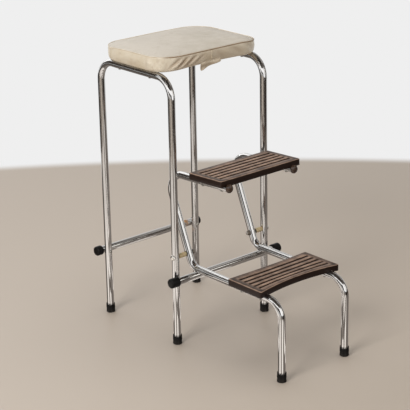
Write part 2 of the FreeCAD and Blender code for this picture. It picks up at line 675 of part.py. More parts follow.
def tread_outline(sketch, inset, front_bow, rear_bow):
    """A tread seen from above, drawn in from its edge by an inset, with its long sides bowed."""
    half_x = f"({TREAD_HALF_X} - {inset})"
    half_y = f"(Sizes.tread_depth / 2 - {inset})"
    corners = ((f"-{half_x}", f"-{half_y}"), (half_x, f"-{half_y}"), (half_x, half_y), (f"-{half_x}", half_y))
    bows = {}
    if front_bow:
        bows[0] = ("0", f"-{half_y} + {front_bow}")
        bows[2] = ("0", f"{half_y} - {rear_bow}")
    draw_outline(sketch, corners, bows)


def upright_edges(shape):
    """The names of a pad's upright edges, for rounding."""
    names = []
    for number, edge in enumerate(shape.Edges, start=1):
        start, end = edge.Vertexes[0].Point, edge.Vertexes[-1].Point
        if abs(start.x - end.x) + abs(start.y - end.y) < SAME_PLACE:
            names.append(f"Edge{number}")
    return names


def top_rim_edges(shape):
    """The names of the edges around the highest face, for rounding."""
    return [
        f"Edge{number}"
        for number, edge in enumerate(shape.Edges, start=1)
        if all(abs(vertex.Point.z - shape.BoundBox.ZMax) < SAME_PLACE for vertex in edge.Vertexes)
    ]


def round_edges(body, name, base, edges, radius):
    fillet = body.newObject("PartDesign::Fillet", name)
    fillet.Base = (base, edges)
    fillet.setExpression("Radius", radius)
    doc.recompute()
    return fillet


def make_tread(which, front_bow="", rear_bow=""):
    """A moulded tread: grooved deck, rim and skirt, with ribs and four screw bosses underneath."""
    tread = new_body(f"{which}_tread")
    outline = new_sketch(tread, f"{which}_tread_outline", "XY_Plane")
    tread_outline(outline, "0", front_bow, rear_bow)
    block = pad(tread, outline, "Sizes.tread_skirt", downward=True)
    rounded = round_edges(
        tread, f"{which}_tread_corners", block, upright_edges(block.Shape), "Sizes.tread_corner",
    )
    round_edges(tread, f"{which}_tread_rim", rounded, top_rim_edges(rounded.Shape), "Sizes.tread_edge_round")

    hollow = new_sketch(tread, f"{which}_tread_hollow", "XY_Plane", "-Sizes.tread_skirt")
    tread_outline(hollow, "Sizes.tread_wall", front_bow, rear_bow)
    pocket(tread, hollow, "Sizes.tread_skirt - Sizes.tread_deck", upward=True)

    # The ribs and bosses run a little into the deck, so that they join it.
    overlap = "0.5"
    ribs = new_sketch(tread, f"{which}_tread_ribs", "XY_Plane", "Sizes.rib_clearance - Sizes.tread_over_tube")
    half_rib = "Sizes.rib_thickness / 2"
    rib_end_x = f"({TREAD_HALF_X} - Sizes.tread_wall / 2)"
    for back in (-1, 1):
        middle = f"{back} * Sizes.tread_depth / 8"
        corners = (
            (f"-{rib_end_x}", f"{middle} - {half_rib}"),
            (rib_end_x, f"{middle} - {half_rib}"),
            (rib_end_x, f"{middle} + {half_rib}"),
            (f"-{rib_end_x}", f"{middle} + {half_rib}"),
        )
        draw_outline(ribs, corners)
    pad(tread, ribs, f"Sizes.tread_over_tube - Sizes.rib_clearance - Sizes.tread_deck + {overlap}")
    bosses = new_sketch(tread, f"{which}_tread_bosses", "XY_Plane", "-Sizes.tread_over_tube")
    for across in (-1, 1):
        for back in (-1, 1):
            centre = (f"{across} * {STEP_X}", f"{back} * {BOSS_Y}")
            draw_circle(bosses, "Sizes.boss_diameter / 2", *centre)
    pad(tread, bosses, f"Sizes.tread_over_tube - Sizes.tread_deck + {overlap}")

    for across in (-1, 1):
        notch = "Sizes.tube_diameter + Sizes.notch_play * 2"
        spot = (f"{across} * {STEP_X}", "-Sizes.tread_depth", f"-{TREAD_OVER_RUN}")
        drill(tread, f"{which}_tread_notch", notch, "Sizes.tread_depth * 2", spot, TO_BACK)
        pilot = "Sizes.tread_screw_diameter + Sizes.hole_play"
        depth = f"{TREAD_SCREW_BITE} + Sizes.tread_screw_cover / 2"
        for back in (-1, 1):
            spot = (f"{across} * {STEP_X}", f"{back} * {BOSS_Y}", "-Sizes.tread_over_tube")
            drill(tread, f"{which}_tread_pilot", pilot, depth, spot)

    grooves = new_sketch(tread, f"{which}_tread_grooves", "XY_Plane")
    end_x = f"({TREAD_HALF_X} - Sizes.groove_margin)"
    half_groove = "Sizes.groove_width / 2"
    for count in (-2, -1, 0, 1, 2):
        middle = f"(-Sizes.groove_shift + {count} * Sizes.groove_pitch)"
        corners = (
            (f"-{end_x}", f"{middle} - {half_groove}"),
            (end_x, f"{middle} - {half_groove}"),
            (end_x, f"{middle} + {half_groove}"),
            (f"-{end_x}", f"{middle} + {half_groove}"),
        )
        bows = {}
        share = f"({abs(2 * count)} * Sizes.groove_pitch / Sizes.tread_depth)"
        if front_bow and count:
            # The grooves follow the bowed edge that they are nearest to, less and less towards the middle.
            if count < 0:
                bow = f"{front_bow} * pow({share}; Sizes.groove_bow_fade)"
            else:
                bow = f"-{rear_bow} * {share}"
            bows[0] = ("0", f"{middle} - {half_groove} + {bow}")
            bows[2] = ("0", f"{middle} + {half_groove} + {bow}")
        draw_outline(grooves, corners, bows)
    pocket(tread, grooves, "Sizes.groove_depth")
    set_down(tread, *tread_frame(which))


def make_tread_screws(which):
    """Four tapping screws from below, through the tubes into the tread's bosses."""
    length = f"(Sizes.tube_diameter + {TREAD_SCREW_BITE} + Sizes.seating_gap)"
    below = f"(-{TREAD_OVER_RUN} - {TUBE_R} - Sizes.seating_gap)"
    screws = []
    for side, sign, _ in SIDES:
        for place, end in (("front", -1), ("rear", 1)):
            spot, turn = tread_frame(which, f"{sign} * {STEP_X}", f"{end} * {BOSS_Y}", below)
            section = screw_section("Sizes.tread_screw_diameter", length)
            screws.append(turned(f"{which}_{side}_{place}_tread_screw", section, spot, turn))
    group(f"{which}_tread_screws", screws)


def make_step_tube_cap(side, sign):
    """The plastic cap on the front end of an upper run."""
    length = "(Sizes.tube_cap_end + Sizes.tube_cap_sleeve)"
    section = cap_section(length, "Sizes.tube_cap_wall", "Sizes.tube_cap_end")
    end = "Sizes.tube_cap_end"
    spot = (
        f"{sign} * {STEP_X}",
        f"{UPPER_END_Y} - {end} * cos(Sizes.upper_run_tilt)",
        f"{UPPER_END_Z} + {end} * sin(Sizes.upper_run_tilt)",
    )
    along_the_run = FreeCAD.Rotation(X_AXIS, -90 - value("Sizes.upper_run_tilt"))
    turned(f"step_tube_cap_{side}", section, spot, along_the_run)


for side, sign, inward in SIDES:
    make_side_frame(side, sign)
    make_pivot(side, sign, inward)
    make_step_tube(side, sign)
    make_step_tube_cap(side, sign)
    make_ferrule(f"front_ferrule_{side}", f"{sign} * {LEG_X}", f"-{LEG_Y}")
    make_ferrule(f"rear_ferrule_{side}", f"{sign} * {LEG_X}", LEG_Y)
    make_ferrule(f"step_ferrule_{side}", f"{sign} * {STEP_X}", STEP_FOOT_Y)
    make_rail_cap("front", side, sign, -1, inward)
    make_rail_cap("rear", side, sign, 1, inward)
make_rail("front", -1, "Sizes.front_rail_height")
make_rail("rear", 1, "Sizes.rear_rail_height")
make_rail_fixings()
make_seat_board()
make_seat_cushion()
make_seat_screws()
make_tread("upper")
make_tread("lower", "Sizes.lower_front_bow", "Sizes.lower_rear_bow")
make_tread_screws("upper")
make_tread_screws("lower")
doc.recompute()

bundled = {member.Name for item in doc.Objects if item.TypeId == "Part::Compound" for member in item.Links}
sub_parts = [
    item
    for item in doc.Objects
    if item.TypeId in ("PartDesign::Body", "Part::Compound") and item.Name not in bundled
]
for item in doc.Objects:
    if "Invalid" in item.State or "Error" in item.State:
        raise RuntimeError(f"{item.Name} failed: {item.State}")
for item in sub_parts:
    if item.Shape.isNull() or not item.Shape.isValid():
        raise RuntimeError(f"{item.Label} has no valid shape")

os.makedirs("parts", exist_ok=True)
for item in sub_parts:
    item.Shape.exportStep(f"parts/{item.Label}.step")
    print(f"{item.Label}: {len(item.Shape.Solids)} solid(s), {item.Shape.Volume:.0f} mm3")
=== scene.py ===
import math

import bmesh
import bpy
import numpy as np
from mathutils import Matrix, Vector


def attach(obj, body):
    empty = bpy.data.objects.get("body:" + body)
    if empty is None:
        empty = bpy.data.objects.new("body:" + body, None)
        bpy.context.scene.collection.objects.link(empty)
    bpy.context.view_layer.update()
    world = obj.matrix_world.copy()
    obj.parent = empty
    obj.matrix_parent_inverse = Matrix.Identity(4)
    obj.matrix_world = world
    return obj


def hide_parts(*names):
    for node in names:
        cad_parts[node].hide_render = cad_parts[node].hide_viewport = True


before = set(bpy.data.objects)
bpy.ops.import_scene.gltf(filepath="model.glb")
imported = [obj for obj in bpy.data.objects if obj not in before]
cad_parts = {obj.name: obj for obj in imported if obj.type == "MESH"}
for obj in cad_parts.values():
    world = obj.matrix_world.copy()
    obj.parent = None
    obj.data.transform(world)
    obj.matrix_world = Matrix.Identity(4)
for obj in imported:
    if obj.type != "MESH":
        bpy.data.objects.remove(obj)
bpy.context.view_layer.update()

# --- Side frames -------------------------------------------------------------------------------
# Each side of the stool is one steel tube bent into an upside-down U on a mandrel bender.
# The tube is nickel-chrome plated, rubbed dull in places, and the seat and the cross tubes are screwed to it.

TUBE_RADIUS = 0.0095
FLOOR_RUBBER = 0.004
FRONT_LEG_Y = 0.020325
REAR_LEG_Y = 0.301325
LEG_X = 0.1525
TOP_RUN_Z = 0.699
FRAME_BEND = 0.050
SIDES = (("left", -1), ("right", 1))
SHARP_DEGREES = 38


def linear(hex_colour):
    """The linear colour of an sRGB hex value."""
    values = [int(hex_colour[i:i + 2], 16) / 255 for i in (1, 3, 5)]
    return (*[v / 12.92 if v <= 0.04045 else ((v + 0.055) / 1.055) ** 2.4 for v in values], 1.0)


def feed(node, inputs):
    """Gives each input of a node a value, a hex colour, an output socket, or a node for its first live output."""
    for key, value in inputs.items():
        if isinstance(value, bpy.types.Node):
            value = next(socket for socket in value.outputs if socket.enabled)
        if isinstance(value, bpy.types.NodeSocket):
            node.id_data.links.new(value, node.inputs[key])
        elif isinstance(value, str) and value.startswith("#"):
            node.inputs[key].default_value = linear(value)
        else:
            node.inputs[key].default_value = value


def add_node(tree, kind, inputs=None, stops=None, **settings):
    """One node with its settings, its inputs and, on a colour ramp, its stops."""
    made = tree.nodes.new(kind)
    for key, value in settings.items():
        setattr(made, key, value)
    feed(made, inputs or {})
    if stops:
        ramp = made.color_ramp
        first, *between, last = [(position, linear(tone)) for position, tone in stops]
        ramp.elements[0].position, ramp.elements[0].color = first
        ramp.elements[1].position, ramp.elements[1].color = last
        for position, colour in between:
            ramp.elements.new(position).color = colour
    return made


def new_material(name):
    """A material, its node tree, its Principled shader and its Object coordinates."""
    material = bpy.data.materials.new(name)
    material.use_nodes = True
    tree = material.node_tree
    shader = tree.nodes["Principled BSDF"]
    place = add_node(tree, "ShaderNodeTexCoord").outputs["Object"]
    return material, tree, shader, place


def add_object(name, data):
    """An object of the scene for a mesh or a lamp."""
    made = bpy.data.objects.new(name, data)
    bpy.context.scene.collection.objects.link(made)
    return made


def make_piece(name, mesh, body, material):
    """Puts a finished mesh in the scene, riding on its body."""
    piece = add_object(name, mesh)
    if material:
        mesh.materials.clear()
        mesh.materials.append(material)
    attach(piece, body)
    return piece


def strip(low, high):
    """The faces between two closed rings of as many points."""
    count = len(low)
    return [(low[k], low[(k + 1) % count], high[(k + 1) % count], high[k]) for k in range(count)]


def strips(rings):
    """The faces between rings that follow one another."""
    return [face for low, high in zip(rings, rings[1:]) for face in strip(low, high)]


def mesh_from(name, points, faces, smooth=True):
    """A mesh with its doubles merged and its faces pointing outwards."""
    mesh = bpy.data.meshes.new(name)
    mesh.from_pydata([tuple(point) for point in points], [], faces)
    mesh.update()
    made = bmesh.new()
    made.from_mesh(mesh)
    bmesh.ops.remove_doubles(made, verts=made.verts, dist=1e-7)
    bmesh.ops.recalc_face_normals(made, faces=made.faces)
    made.to_mesh(mesh)
    made.free()
    if smooth:
        mesh.shade_smooth()
        mesh.set_sharp_from_angle(angle=math.radians(SHARP_DEGREES))
    return mesh


BEND_STEP = 0.004
STRAIGHT_STEP = 0.020
# How far the bender flattens a bend, as a share, and how deep it crimps the inside near the bend's two ends.
BEND_OVAL = 0.045
CRIMP_DEPTH = 0.00055
CRIMP_PLACES = (0.06, 0.94)
CRIMP_WIDTH = 0.035


def bent_line(corners, radii):
    """Points along straight runs joined by arcs in the YZ plane, each with its share of its bend and the way in."""
    tips = [np.array(corner, float) for corner in corners]
    spots = [(tips[0], 0.0, None)]
    for before, tip, after, radius in zip(tips, tips[1:], tips[2:], radii):
        back = (before - tip) / np.linalg.norm(before - tip)
        ahead = (after - tip) / np.linalg.norm(after - tip)
        half = math.acos(np.clip(back @ ahead, -1, 1)) / 2
        inward = (back + ahead) / np.linalg.norm(back + ahead)
        centre = tip + inward * radius / math.sin(half)
        start = tip + back * radius / math.tan(half)
        sweep = math.pi - 2 * half
        turn = np.sign(back[1] * ahead[0] - back[0] * ahead[1])
        count = max(6, int(radius * sweep / BEND_STEP))
        for k in range(count + 1):
            share = k / count
            angle = turn * share * sweep
            turned = np.array([[math.cos(angle), -math.sin(angle)], [math.sin(angle), math.cos(angle)]])
            spots.append((centre + turned @ (start - centre), share, inward))
    spots.append((tips[-1], 0.0, None))
    filled = []
    for (spot, share, inward), (after, _, _) in zip(spots, spots[1:]):
        filled.append((spot, share, inward))
        length = np.linalg.norm(after - spot)
        if length > 3 * BEND_STEP:
            count = max(1, int(length / STRAIGHT_STEP))
            filled += [(spot + (after - spot) * k / count, 0.0, None) for k in range(1, count)]
    filled.append(spots[-1])
    return filled


def sweep_tube(name, across, line, around=48):
    """A tube along a line in the YZ plane; the bender leaves each bend a little oval and its inside crimped."""
    spots = np.array([spot for spot, _, _ in line])
    aims = np.gradient(spots, axis=0)
    aims /= np.linalg.norm(aims, axis=1)[:, None]
    points = []
    for (spot, share, inward), aim in zip(line, aims):
        side = np.array([-aim[1], aim[0]])
        bend = math.sin(math.pi * share) if inward is not None else 0.0
        crimp = sum(math.exp(-((share - place) / CRIMP_WIDTH) ** 2) for place in CRIMP_PLACES)
        for k in range(around):
            angle = 2 * math.pi * k / around
            offset = side * math.cos(angle) * TUBE_RADIUS * (1 - BEND_OVAL * bend)
            if bend:
                inside = max(0.0, (side * math.cos(angle)) @ inward)
                offset = offset - inward * CRIMP_DEPTH * crimp * inside ** 3
            points.append((across + math.sin(angle) * TUBE_RADIUS, spot[0] + offset[0], spot[1] + offset[1]))
    rings = [tuple(range(k * around, (k + 1) * around)) for k in range(len(line))]
    return mesh_from(name, points, strips(rings) + [rings[0], rings[-1]])


# Where water has stood against a joint and rusted the plate: place, radius and how much.
CHROME_RUST = (
    ((0.131, 0.3204, 0.177), 0.0165, 1.0),
    ((0.1525, 0.306, 0.160), 0.020, 0.50),
    ((0.1525, 0.301, 0.035), 0.016, 0.45),
    ((-0.1525, 0.020, 0.232), 0.012, 0.30),
    ((0.1085, -0.321, 0.034), 0.014, 0.30),
)


def make_chrome():
    # Decorative chrome over bright nickel: mirror-like, nearly neutral, with a fine haze of old polish, pin-head
    # pits and brown rust.
    material, tree, shader, place = new_material("chrome plate on steel tube")
    haze = add_node(tree, "ShaderNodeTexNoise", {"Vector": place, "Scale": 38.0, "Detail": 5.0, "Roughness": 0.62})
    streaks = add_node(tree, "ShaderNodeMapping", {"Vector": place, "Scale": (420.0, 420.0, 16.0)})
    rubbed = add_node(tree, "ShaderNodeTexNoise", {"Vector": streaks, "Scale": 1.0, "Detail": 3.0})
    both = add_node(tree, "ShaderNodeMath", {0: haze, 1: rubbed}, operation="MULTIPLY")
    rough = add_node(
        tree, "ShaderNodeMapRange",
        {"Value": both, "From Min": 0.14, "From Max": 0.42, "To Min": 0.045, "To Max": 0.17},
    )
    # Pits are 0.4 mm across, about one in every 3 mm.
    pits = add_node(tree, "ShaderNodeTexVoronoi", {"Vector": place, "Scale": 330.0})
    pit = add_node(
        tree, "ShaderNodeMapRange",
        {"Value": pits, "From Min": 0.09, "From Max": 0.16, "To Min": 1.0, "To Max": 0.0},
    )
    few = add_node(tree, "ShaderNodeTexNoise", {"Vector": place, "Scale": 55.0, "Detail": 2.0})
    where = add_node(
        tree, "ShaderNodeMapRange",
        {"Value": few, "From Min": 0.54, "From Max": 0.66, "To Min": 0.0, "To Max": 0.85},
    )
    pitted = add_node(tree, "ShaderNodeMath", {0: pit, 1: where}, operation="MULTIPLY")
    rust = pitted
    ragged = add_node(tree, "ShaderNodeTexNoise", {"Vector": place, "Scale": 260.0, "Detail": 4.0, "Roughness": 0.7})
    for spot, reach, amount in CHROME_RUST:
        away = add_node(tree, "ShaderNodeVectorMath", {0: place, 1: spot}, operation="DISTANCE")
        near = add_node(
            tree, "ShaderNodeMapRange",
            {"Value": away, "From Min": reach, "From Max": reach * 0.35},
        )
        torn = add_node(tree, "ShaderNodeMath", {0: near, 1: ragged}, operation="MULTIPLY")
        eaten = add_node(
            tree, "ShaderNodeMapRange",
            {"Value": torn, "From Min": 0.22, "From Max": 0.38, "To Min": 0.0, "To Max": amount},
        )
        rust = add_node(tree, "ShaderNodeMath", {0: rust, 1: eaten}, operation="MAXIMUM")
    brown = add_node(
        tree, "ShaderNodeValToRGB", {"Fac": ragged},
        stops=((0.30, "#55341A"), (0.50, "#9C6A38"), (0.72, "#CFA777")),
    )
    colour = add_node(tree, "ShaderNodeMix", {0: rust, 6: "#C5C4C2", 7: brown}, data_type="RGBA")
    metal = add_node(tree, "ShaderNodeMath", {0: 1.0, 1: rust}, operation="SUBTRACT")
    dull = add_node(tree, "ShaderNodeMix", {0: rust, 2: rough, 3: 0.75})
    dents = add_node(tree, "ShaderNodeBump", {"Height": rust, "Strength": 0.25, "Distance": 0.0002})
    feed(shader, {"Base Color": colour, "Metallic": metal, "Roughness": dull, "Normal": dents})
    return material


chrome = make_chrome()
for side, sign in SIDES:
    line = bent_line(
        ((REAR_LEG_Y, FLOOR_RUBBER), (REAR_LEG_Y, TOP_RUN_Z), (FRONT_LEG_Y, TOP_RUN_Z), (FRONT_LEG_Y, FLOOR_RUBBER)),
        (FRAME_BEND, FRAME_BEND),
    )
    mesh = sweep_tube(f"{side} bent side frame", sign * LEG_X, line)
    piece = make_piece(f"bent_side_frame_{side}", mesh, "frame", chrome)
    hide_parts(f"{side}_side_frame")

# --- Cross tubes -------------------------------------------------------------------------------
# Two straight lengths of the same plated tube, drilled and screwed to the outer faces of the legs,
# one low in front and one low behind.

PLAY = 0.0001
EDGE_BREAK = 0.0004
# Place, distance back, height and half length.
RAILS = (
    ("front", FRONT_LEG_Y - 2 * TUBE_RADIUS - PLAY, 0.180, 0.1845),
    ("rear", REAR_LEG_Y + 2 * TUBE_RADIUS + PLAY, 0.175, 0.177),
)


def turned_mesh(name, profile, start, axis, around=56):
    """A lathe shape: (radius, distance along the axis) from one pole to the other."""
    axis = Vector(axis).normalized()
    one = axis.orthogonal().normalized()
    two = axis.cross(one)
    points = []
    rings = []
    for radius, along in profile:
        middle = Vector(start) + axis * along
        if radius <= 0:
            rings.append([len(points)])
            points.append(middle)
            continue
        rings.append(list(range(len(points), len(points) + around)))
        for k in range(around):
            angle = 2 * math.pi * k / around
            points.append(middle + (one * math.cos(angle) + two * math.sin(angle)) * radius)
    faces = []
    for low, high in zip(rings, rings[1:]):
        if len(low) == len(high):
            faces += strip(low, high)
        else:
            pole, ring = (low[0], high) if len(low) == 1 else (high[0], low)
            faces += [(pole, ring[k - 1], ring[k]) for k in range(around)]
    return mesh_from(name, points, faces)


for place, back, height, half in RAILS:
    ends = (
        (0, 0), (TUBE_RADIUS - EDGE_BREAK, 0), (TUBE_RADIUS, EDGE_BREAK), (TUBE_RADIUS, half),
        (TUBE_RADIUS, 2 * half - EDGE_BREAK), (TUBE_RADIUS - EDGE_BREAK, 2 * half), (0, 2 * half),
    )
    mesh = turned_mesh(f"{place} cross tube", ends, (-half, back, height), (1, 0, 0))
    piece = make_piece(f"cross_tube_{place}", mesh, "frame", chrome)
    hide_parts(f"{place}_cross_rail")


# --- Rubber caps and feet ----------------------------------------------------------------------
# Moulded natural rubber, pushed over the tubes' ends. The feet have fine upright grip ribs from the
# mould, and dust from the floor greys their lower edge.

CAP_RADIUS = 0.0127
CAP_END = 0.0035
CAP_RIM = 0.1626
RUBBER_BORE = 0.0096
FOOT_HEIGHT = 0.021
FOOT_RADIUS = 0.0120
# Radius and height of the foot's outside, its lip and its inside, from its sole round to the floor inside it.
FOOT_PROFILE = (
    (0, 0), (0.0096, 0), (0.0112, 0.0003), (0.0118, 0.0010), (FOOT_RADIUS, 0.0026), (0.0118, 0.0038),
    (0.0116, 0.0048), (0.0111, 0.0185), (0.0113, 0.0192), (0.0113, 0.0203), (0.0108, FOOT_HEIGHT),
    (0.0097, FOOT_HEIGHT), (RUBBER_BORE, 0.0204), (RUBBER_BORE, FLOOR_RUBBER), (0, FLOOR_RUBBER),
)
STEP_X = 0.1085
STEP_FOOT_Y = -0.321125
FEET = {
    "front_ferrule_left": (-LEG_X, FRONT_LEG_Y, "frame"),
    "front_ferrule_right": (LEG_X, FRONT_LEG_Y, "frame"),
    "rear_ferrule_left": (-LEG_X, REAR_LEG_Y, "frame"),
    "rear_ferrule_right": (LEG_X, REAR_LEG_Y, "frame"),
    "step_ferrule_left": (-STEP_X, STEP_FOOT_Y, "step_unit"),
    "step_ferrule_right": (STEP_X, STEP_FOOT_Y, "step_unit"),
}


def cap_profile(long):
    """Radius and distance inwards of a rail cap, from its domed end to its rim and back to the rail's end."""
    return (
        (0, 0.0002), (0.0060, 0), (0.0098, 0.0005), (0.0116, 0.0016), (0.0124, 0.0034), (CAP_RADIUS, 0.0060),
        (0.0126, long * 0.65), (CAP_RADIUS, long - 0.0029), (CAP_RADIUS, long - 0.0009), (0.0122, long),
        (0.0098, long), (RUBBER_BORE, long - 0.0009), (RUBBER_BORE, 0.0034), (0, 0.0034),
    )


def make_rubber():
    # Black rubber is nearly dielectric-matte: a broad soft shine, with a grey bloom of dust in its grain.
    material, tree, shader, place = new_material("moulded black rubber")
    bloom = add_node(tree, "ShaderNodeTexNoise", {"Vector": place, "Scale": 140.0, "Detail": 6.0, "Roughness": 0.65})
    height = add_node(tree, "ShaderNodeSeparateXYZ", {0: place})
    dusty = add_node(
        tree, "ShaderNodeMapRange",
        {"Value": height.outputs["Z"], "From Min": 0.0, "From Max": 0.014, "To Min": 0.24, "To Max": 0.03},
    )
    dust = add_node(tree, "ShaderNodeMath", {0: bloom, 1: dusty}, operation="MULTIPLY")
    colour = add_node(tree, "ShaderNodeMix", {0: dust, 6: "#0C0B0B", 7: "#5C544C"}, data_type="RGBA")
    rough = add_node(
        tree, "ShaderNodeMapRange",
        {"Value": bloom, "From Min": 0.3, "From Max": 0.7, "To Min": 0.34, "To Max": 0.55},
    )
    grain = add_node(tree, "ShaderNodeTexNoise", {"Vector": place, "Scale": 900.0, "Detail": 2.0})
    bump = add_node(tree, "ShaderNodeBump", {"Height": grain, "Strength": 0.2, "Distance": 0.0002})
    feed(shader, {"Base Color": colour, "Roughness": rough, "Specular IOR Level": 0.15, "Normal": bump})
    return material


rubber = make_rubber()
for place, back, height, half in RAILS:
    for side, sign in SIDES:
        long = half + CAP_END - CAP_RIM
        mesh = turned_mesh(
            f"{place} {side} cap", cap_profile(long), (sign * (half + CAP_END), back, height), (-sign, 0, 0),
        )
        piece = make_piece(f"rubber_cap_{place}_{side}", mesh, "frame", rubber)
        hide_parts(f"{place}_rail_cap_{side}")
for node_name, (across, back, body) in FEET.items():
    mesh = turned_mesh(node_name, FOOT_PROFILE, (across, back, 0), (0, 0, 1))
    piece = make_piece(f"rubber_{node_name}", mesh, body, rubber)
    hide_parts(node_name)


def new_tree(name, inputs):
    """A geometry tree with named inputs, and the sockets that give their values."""
    tree = bpy.data.node_groups.new(name, "GeometryNodeTree")
    tree.interface.new_socket("Geometry", in_out="INPUT", socket_type="NodeSocketGeometry")
    for title, kind in inputs.items():
        tree.interface.new_socket(title, in_out="INPUT", socket_type=f"NodeSocket{kind}")
    tree.interface.new_socket("Geometry", in_out="OUTPUT", socket_type="NodeSocketGeometry")
    return tree, tree.nodes.new("NodeGroupInput").outputs


def close_tree(tree, geometry, material):
    """Ends a tree in real geometry with its material."""
    real = add_node(tree, "GeometryNodeRealizeInstances", {0: geometry})
    made = add_node(tree, "GeometryNodeSetMaterial", {"Geometry": real, "Material": material})
    add_node(tree, "NodeGroupOutput", {0: made})


def grow(name, points, tree, values, body, material, aims=None):
    """Runs a geometry tree on loose points and keeps the result as a plain mesh piece."""
    mesh = bpy.data.meshes.new(name)
    mesh.from_pydata([tuple(point) for point in points], [], [])
    if aims:
        store = mesh.attributes.new("aim", "FLOAT_VECTOR", "POINT")
        store.data.foreach_set("vector", [value for aim in aims for value in aim])
    seed = add_object(name + "_seed", mesh)
    modifier = seed.modifiers.new(name, "NODES")
    modifier.node_group = tree
    named = {item.name: item.identifier for item in tree.interface.items_tree if item.in_out == "INPUT"}
    for title, value in values.items():
        modifier[named[title]] = value
    seen = seed.evaluated_get(bpy.context.evaluated_depsgraph_get())
    plain = bpy.data.meshes.new_from_object(seen)
    plain.name = name
    seed.modifiers.remove(modifier)
    bpy.data.objects.remove(seed)
    return make_piece(name, plain, body, material)


# The ribs stand in a ring just inside the foot's skin and lean in with its draft.
RIB_SIZES = {
    "Ribs": 26, "Ring radius": 0.01135, "Rib length": 0.0134, "Rib width": 0.0011, "Base height": 0.0117,
    "Lean": -2.4,
}
ribs, given = new_tree("grip ribs", {
    "Ribs": "Int", "Ring radius": "Float", "Rib length": "Float", "Rib width": "Float", "Base height": "Float",
    "Lean": "Float", "Material": "Material",
})
ring = add_node(ribs, "GeometryNodeMeshCircle", {"Vertices": given["Ribs"], "Radius": given["Ring radius"]})
lifted = add_node(ribs, "ShaderNodeCombineXYZ", {"Z": given["Base height"]})
ring_up = add_node(ribs, "GeometryNodeSetPosition", {"Geometry": ring, "Offset": lifted})
half_width = add_node(ribs, "ShaderNodeMath", {0: given["Rib width"], 1: 0.5}, operation="MULTIPLY")
rib = add_node(
    ribs, "GeometryNodeMeshCone",
    {"Vertices": 6, "Side Segments": 1, "Fill Segments": 1, "Radius Top": half_width,
     "Radius Bottom": half_width, "Depth": given["Rib length"]},
)
spot = add_node(ribs, "GeometryNodeInputPosition")
inward = add_node(ribs, "ShaderNodeVectorMath", {0: spot, "Scale": given["Lean"]}, operation="SCALE")
tilted = add_node(ribs, "ShaderNodeVectorMath", {0: inward, 1: (0, 0, 1)}, operation="ADD")
aim = add_node(ribs, "FunctionNodeAlignRotationToVector", {"Vector": tilted}, axis="Z")
around = add_node(ribs, "GeometryNodeInstanceOnPoints", {"Points": ring_up, "Instance": rib, "Rotation": aim})
feet = add_node(ribs, "GeometryNodeInstanceOnPoints", {"Points": given["Geometry"], "Instance": around})
close_tree(ribs, feet, given["Material"])
for body in ("frame", "step_unit"):
    spots = [(across, back, 0) for across, back, on in FEET.values() if on == body]
    grow(f"foot_grip_ribs_{body}", spots, ribs, {**RIB_SIZES, "Material": rubber}, body, rubber)


# --- Screws ------------------------------------------------------------------------------------
# Zinc-plated pan-head screws with a cross recess, turned and headed from wire: one kind holds the
# cross tubes, one the seat and one the treads. Each goes through its tube from the hidden side.

SCREW_HEAD = 0.0043
RECESS_RADIUS = 0.0020
RECESS_WAIST = 0.62
PAN_HEIGHT = 0.0028
FLAT_PAN_HEIGHT = 0.0015
# Shank radius and length.
RAIL_SCREW = (0.0025, 0.026)
SEAT_SCREW = (0.00225, 0.0285)
SEAT_SCREW_Y = (0.100825, 0.220825)


def make_zinc():
    # Zinc plate goes dull and grey, with pale bloom and a little brown.
    material, tree, shader, place = new_material("zinc plate on steel screws")
    bloom = add_node(tree, "ShaderNodeTexNoise", {"Vector": place, "Scale": 420.0, "Detail": 4.0})
    colour = add_node(
        tree, "ShaderNodeValToRGB", {"Fac": bloom},
        stops=((0.32, "#8C8A85"), (0.60, "#B7B4AD"), (0.80, "#8A6A4A")),
    )
    rough = add_node(tree, "ShaderNodeMapRange", {"Value": bloom, "To Min": 0.25, "To Max": 0.55})
    feed(shader, {"Base Color": colour, "Metallic": 1.0, "Roughness": rough})
    return material


def screw_mesh(name, shank, length, tall):
    """A pan-head screw along +Z: the head below z 0, a four-lobed recess in it, and a tapered tip."""
    profile = (
        (0, -tall * 0.55), (0.0011, -tall * 0.60), (0.0017, -tall * 0.97), (0.0026, -tall * 0.98),
        (0.0036, -tall * 0.80), (SCREW_HEAD, -tall * 0.38), (SCREW_HEAD, -0.0001), (shank, 0.0),
        (shank, length - shank), (0, length),
    )
    mesh = turned_mesh(name, profile, (0, 0, 0), (0, 0, 1), around=24)
    for vertex in mesh.vertices:
        reach = math.hypot(vertex.co.x, vertex.co.y)
        if vertex.co.z < -tall * 0.9 and reach < RECESS_RADIUS:
            lobes = abs(math.cos(2 * math.atan2(vertex.co.y, vertex.co.x))) ** 3
            shape = RECESS_WAIST + (1 - RECESS_WAIST) * lobes
            vertex.co.x *= shape
            vertex.co.y *= shape
    return mesh


zinc = make_zinc()
screws, given = new_tree("screws on their seats", {"Screw": "Object", "Material": "Material"})
one = add_node(screws, "GeometryNodeObjectInfo", {"Object": given["Screw"], "As Instance": True})
aim = add_node(screws, "GeometryNodeInputNamedAttribute", {"Name": "aim"}, data_type="FLOAT_VECTOR")
turn = add_node(screws, "FunctionNodeAlignRotationToVector", {"Vector": aim}, axis="Z")
placed = add_node(
    screws, "GeometryNodeInstanceOnPoints",
    {"Points": given["Geometry"], "Instance": one.outputs["Geometry"], "Rotation": turn},
)
close_tree(screws, placed, given["Material"])


def set_screws(name, places, aims, size, body, node_name, tall=PAN_HEIGHT):
    """Puts one kind of screw at its places, each along its own aim."""
    pattern = add_object(name + "_pattern", screw_mesh(name, *size, tall))
    piece = grow(name, places, screws, {"Screw": pattern, "Material": zinc}, body, zinc, aims)
    bpy.data.objects.remove(pattern)
    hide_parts(node_name)


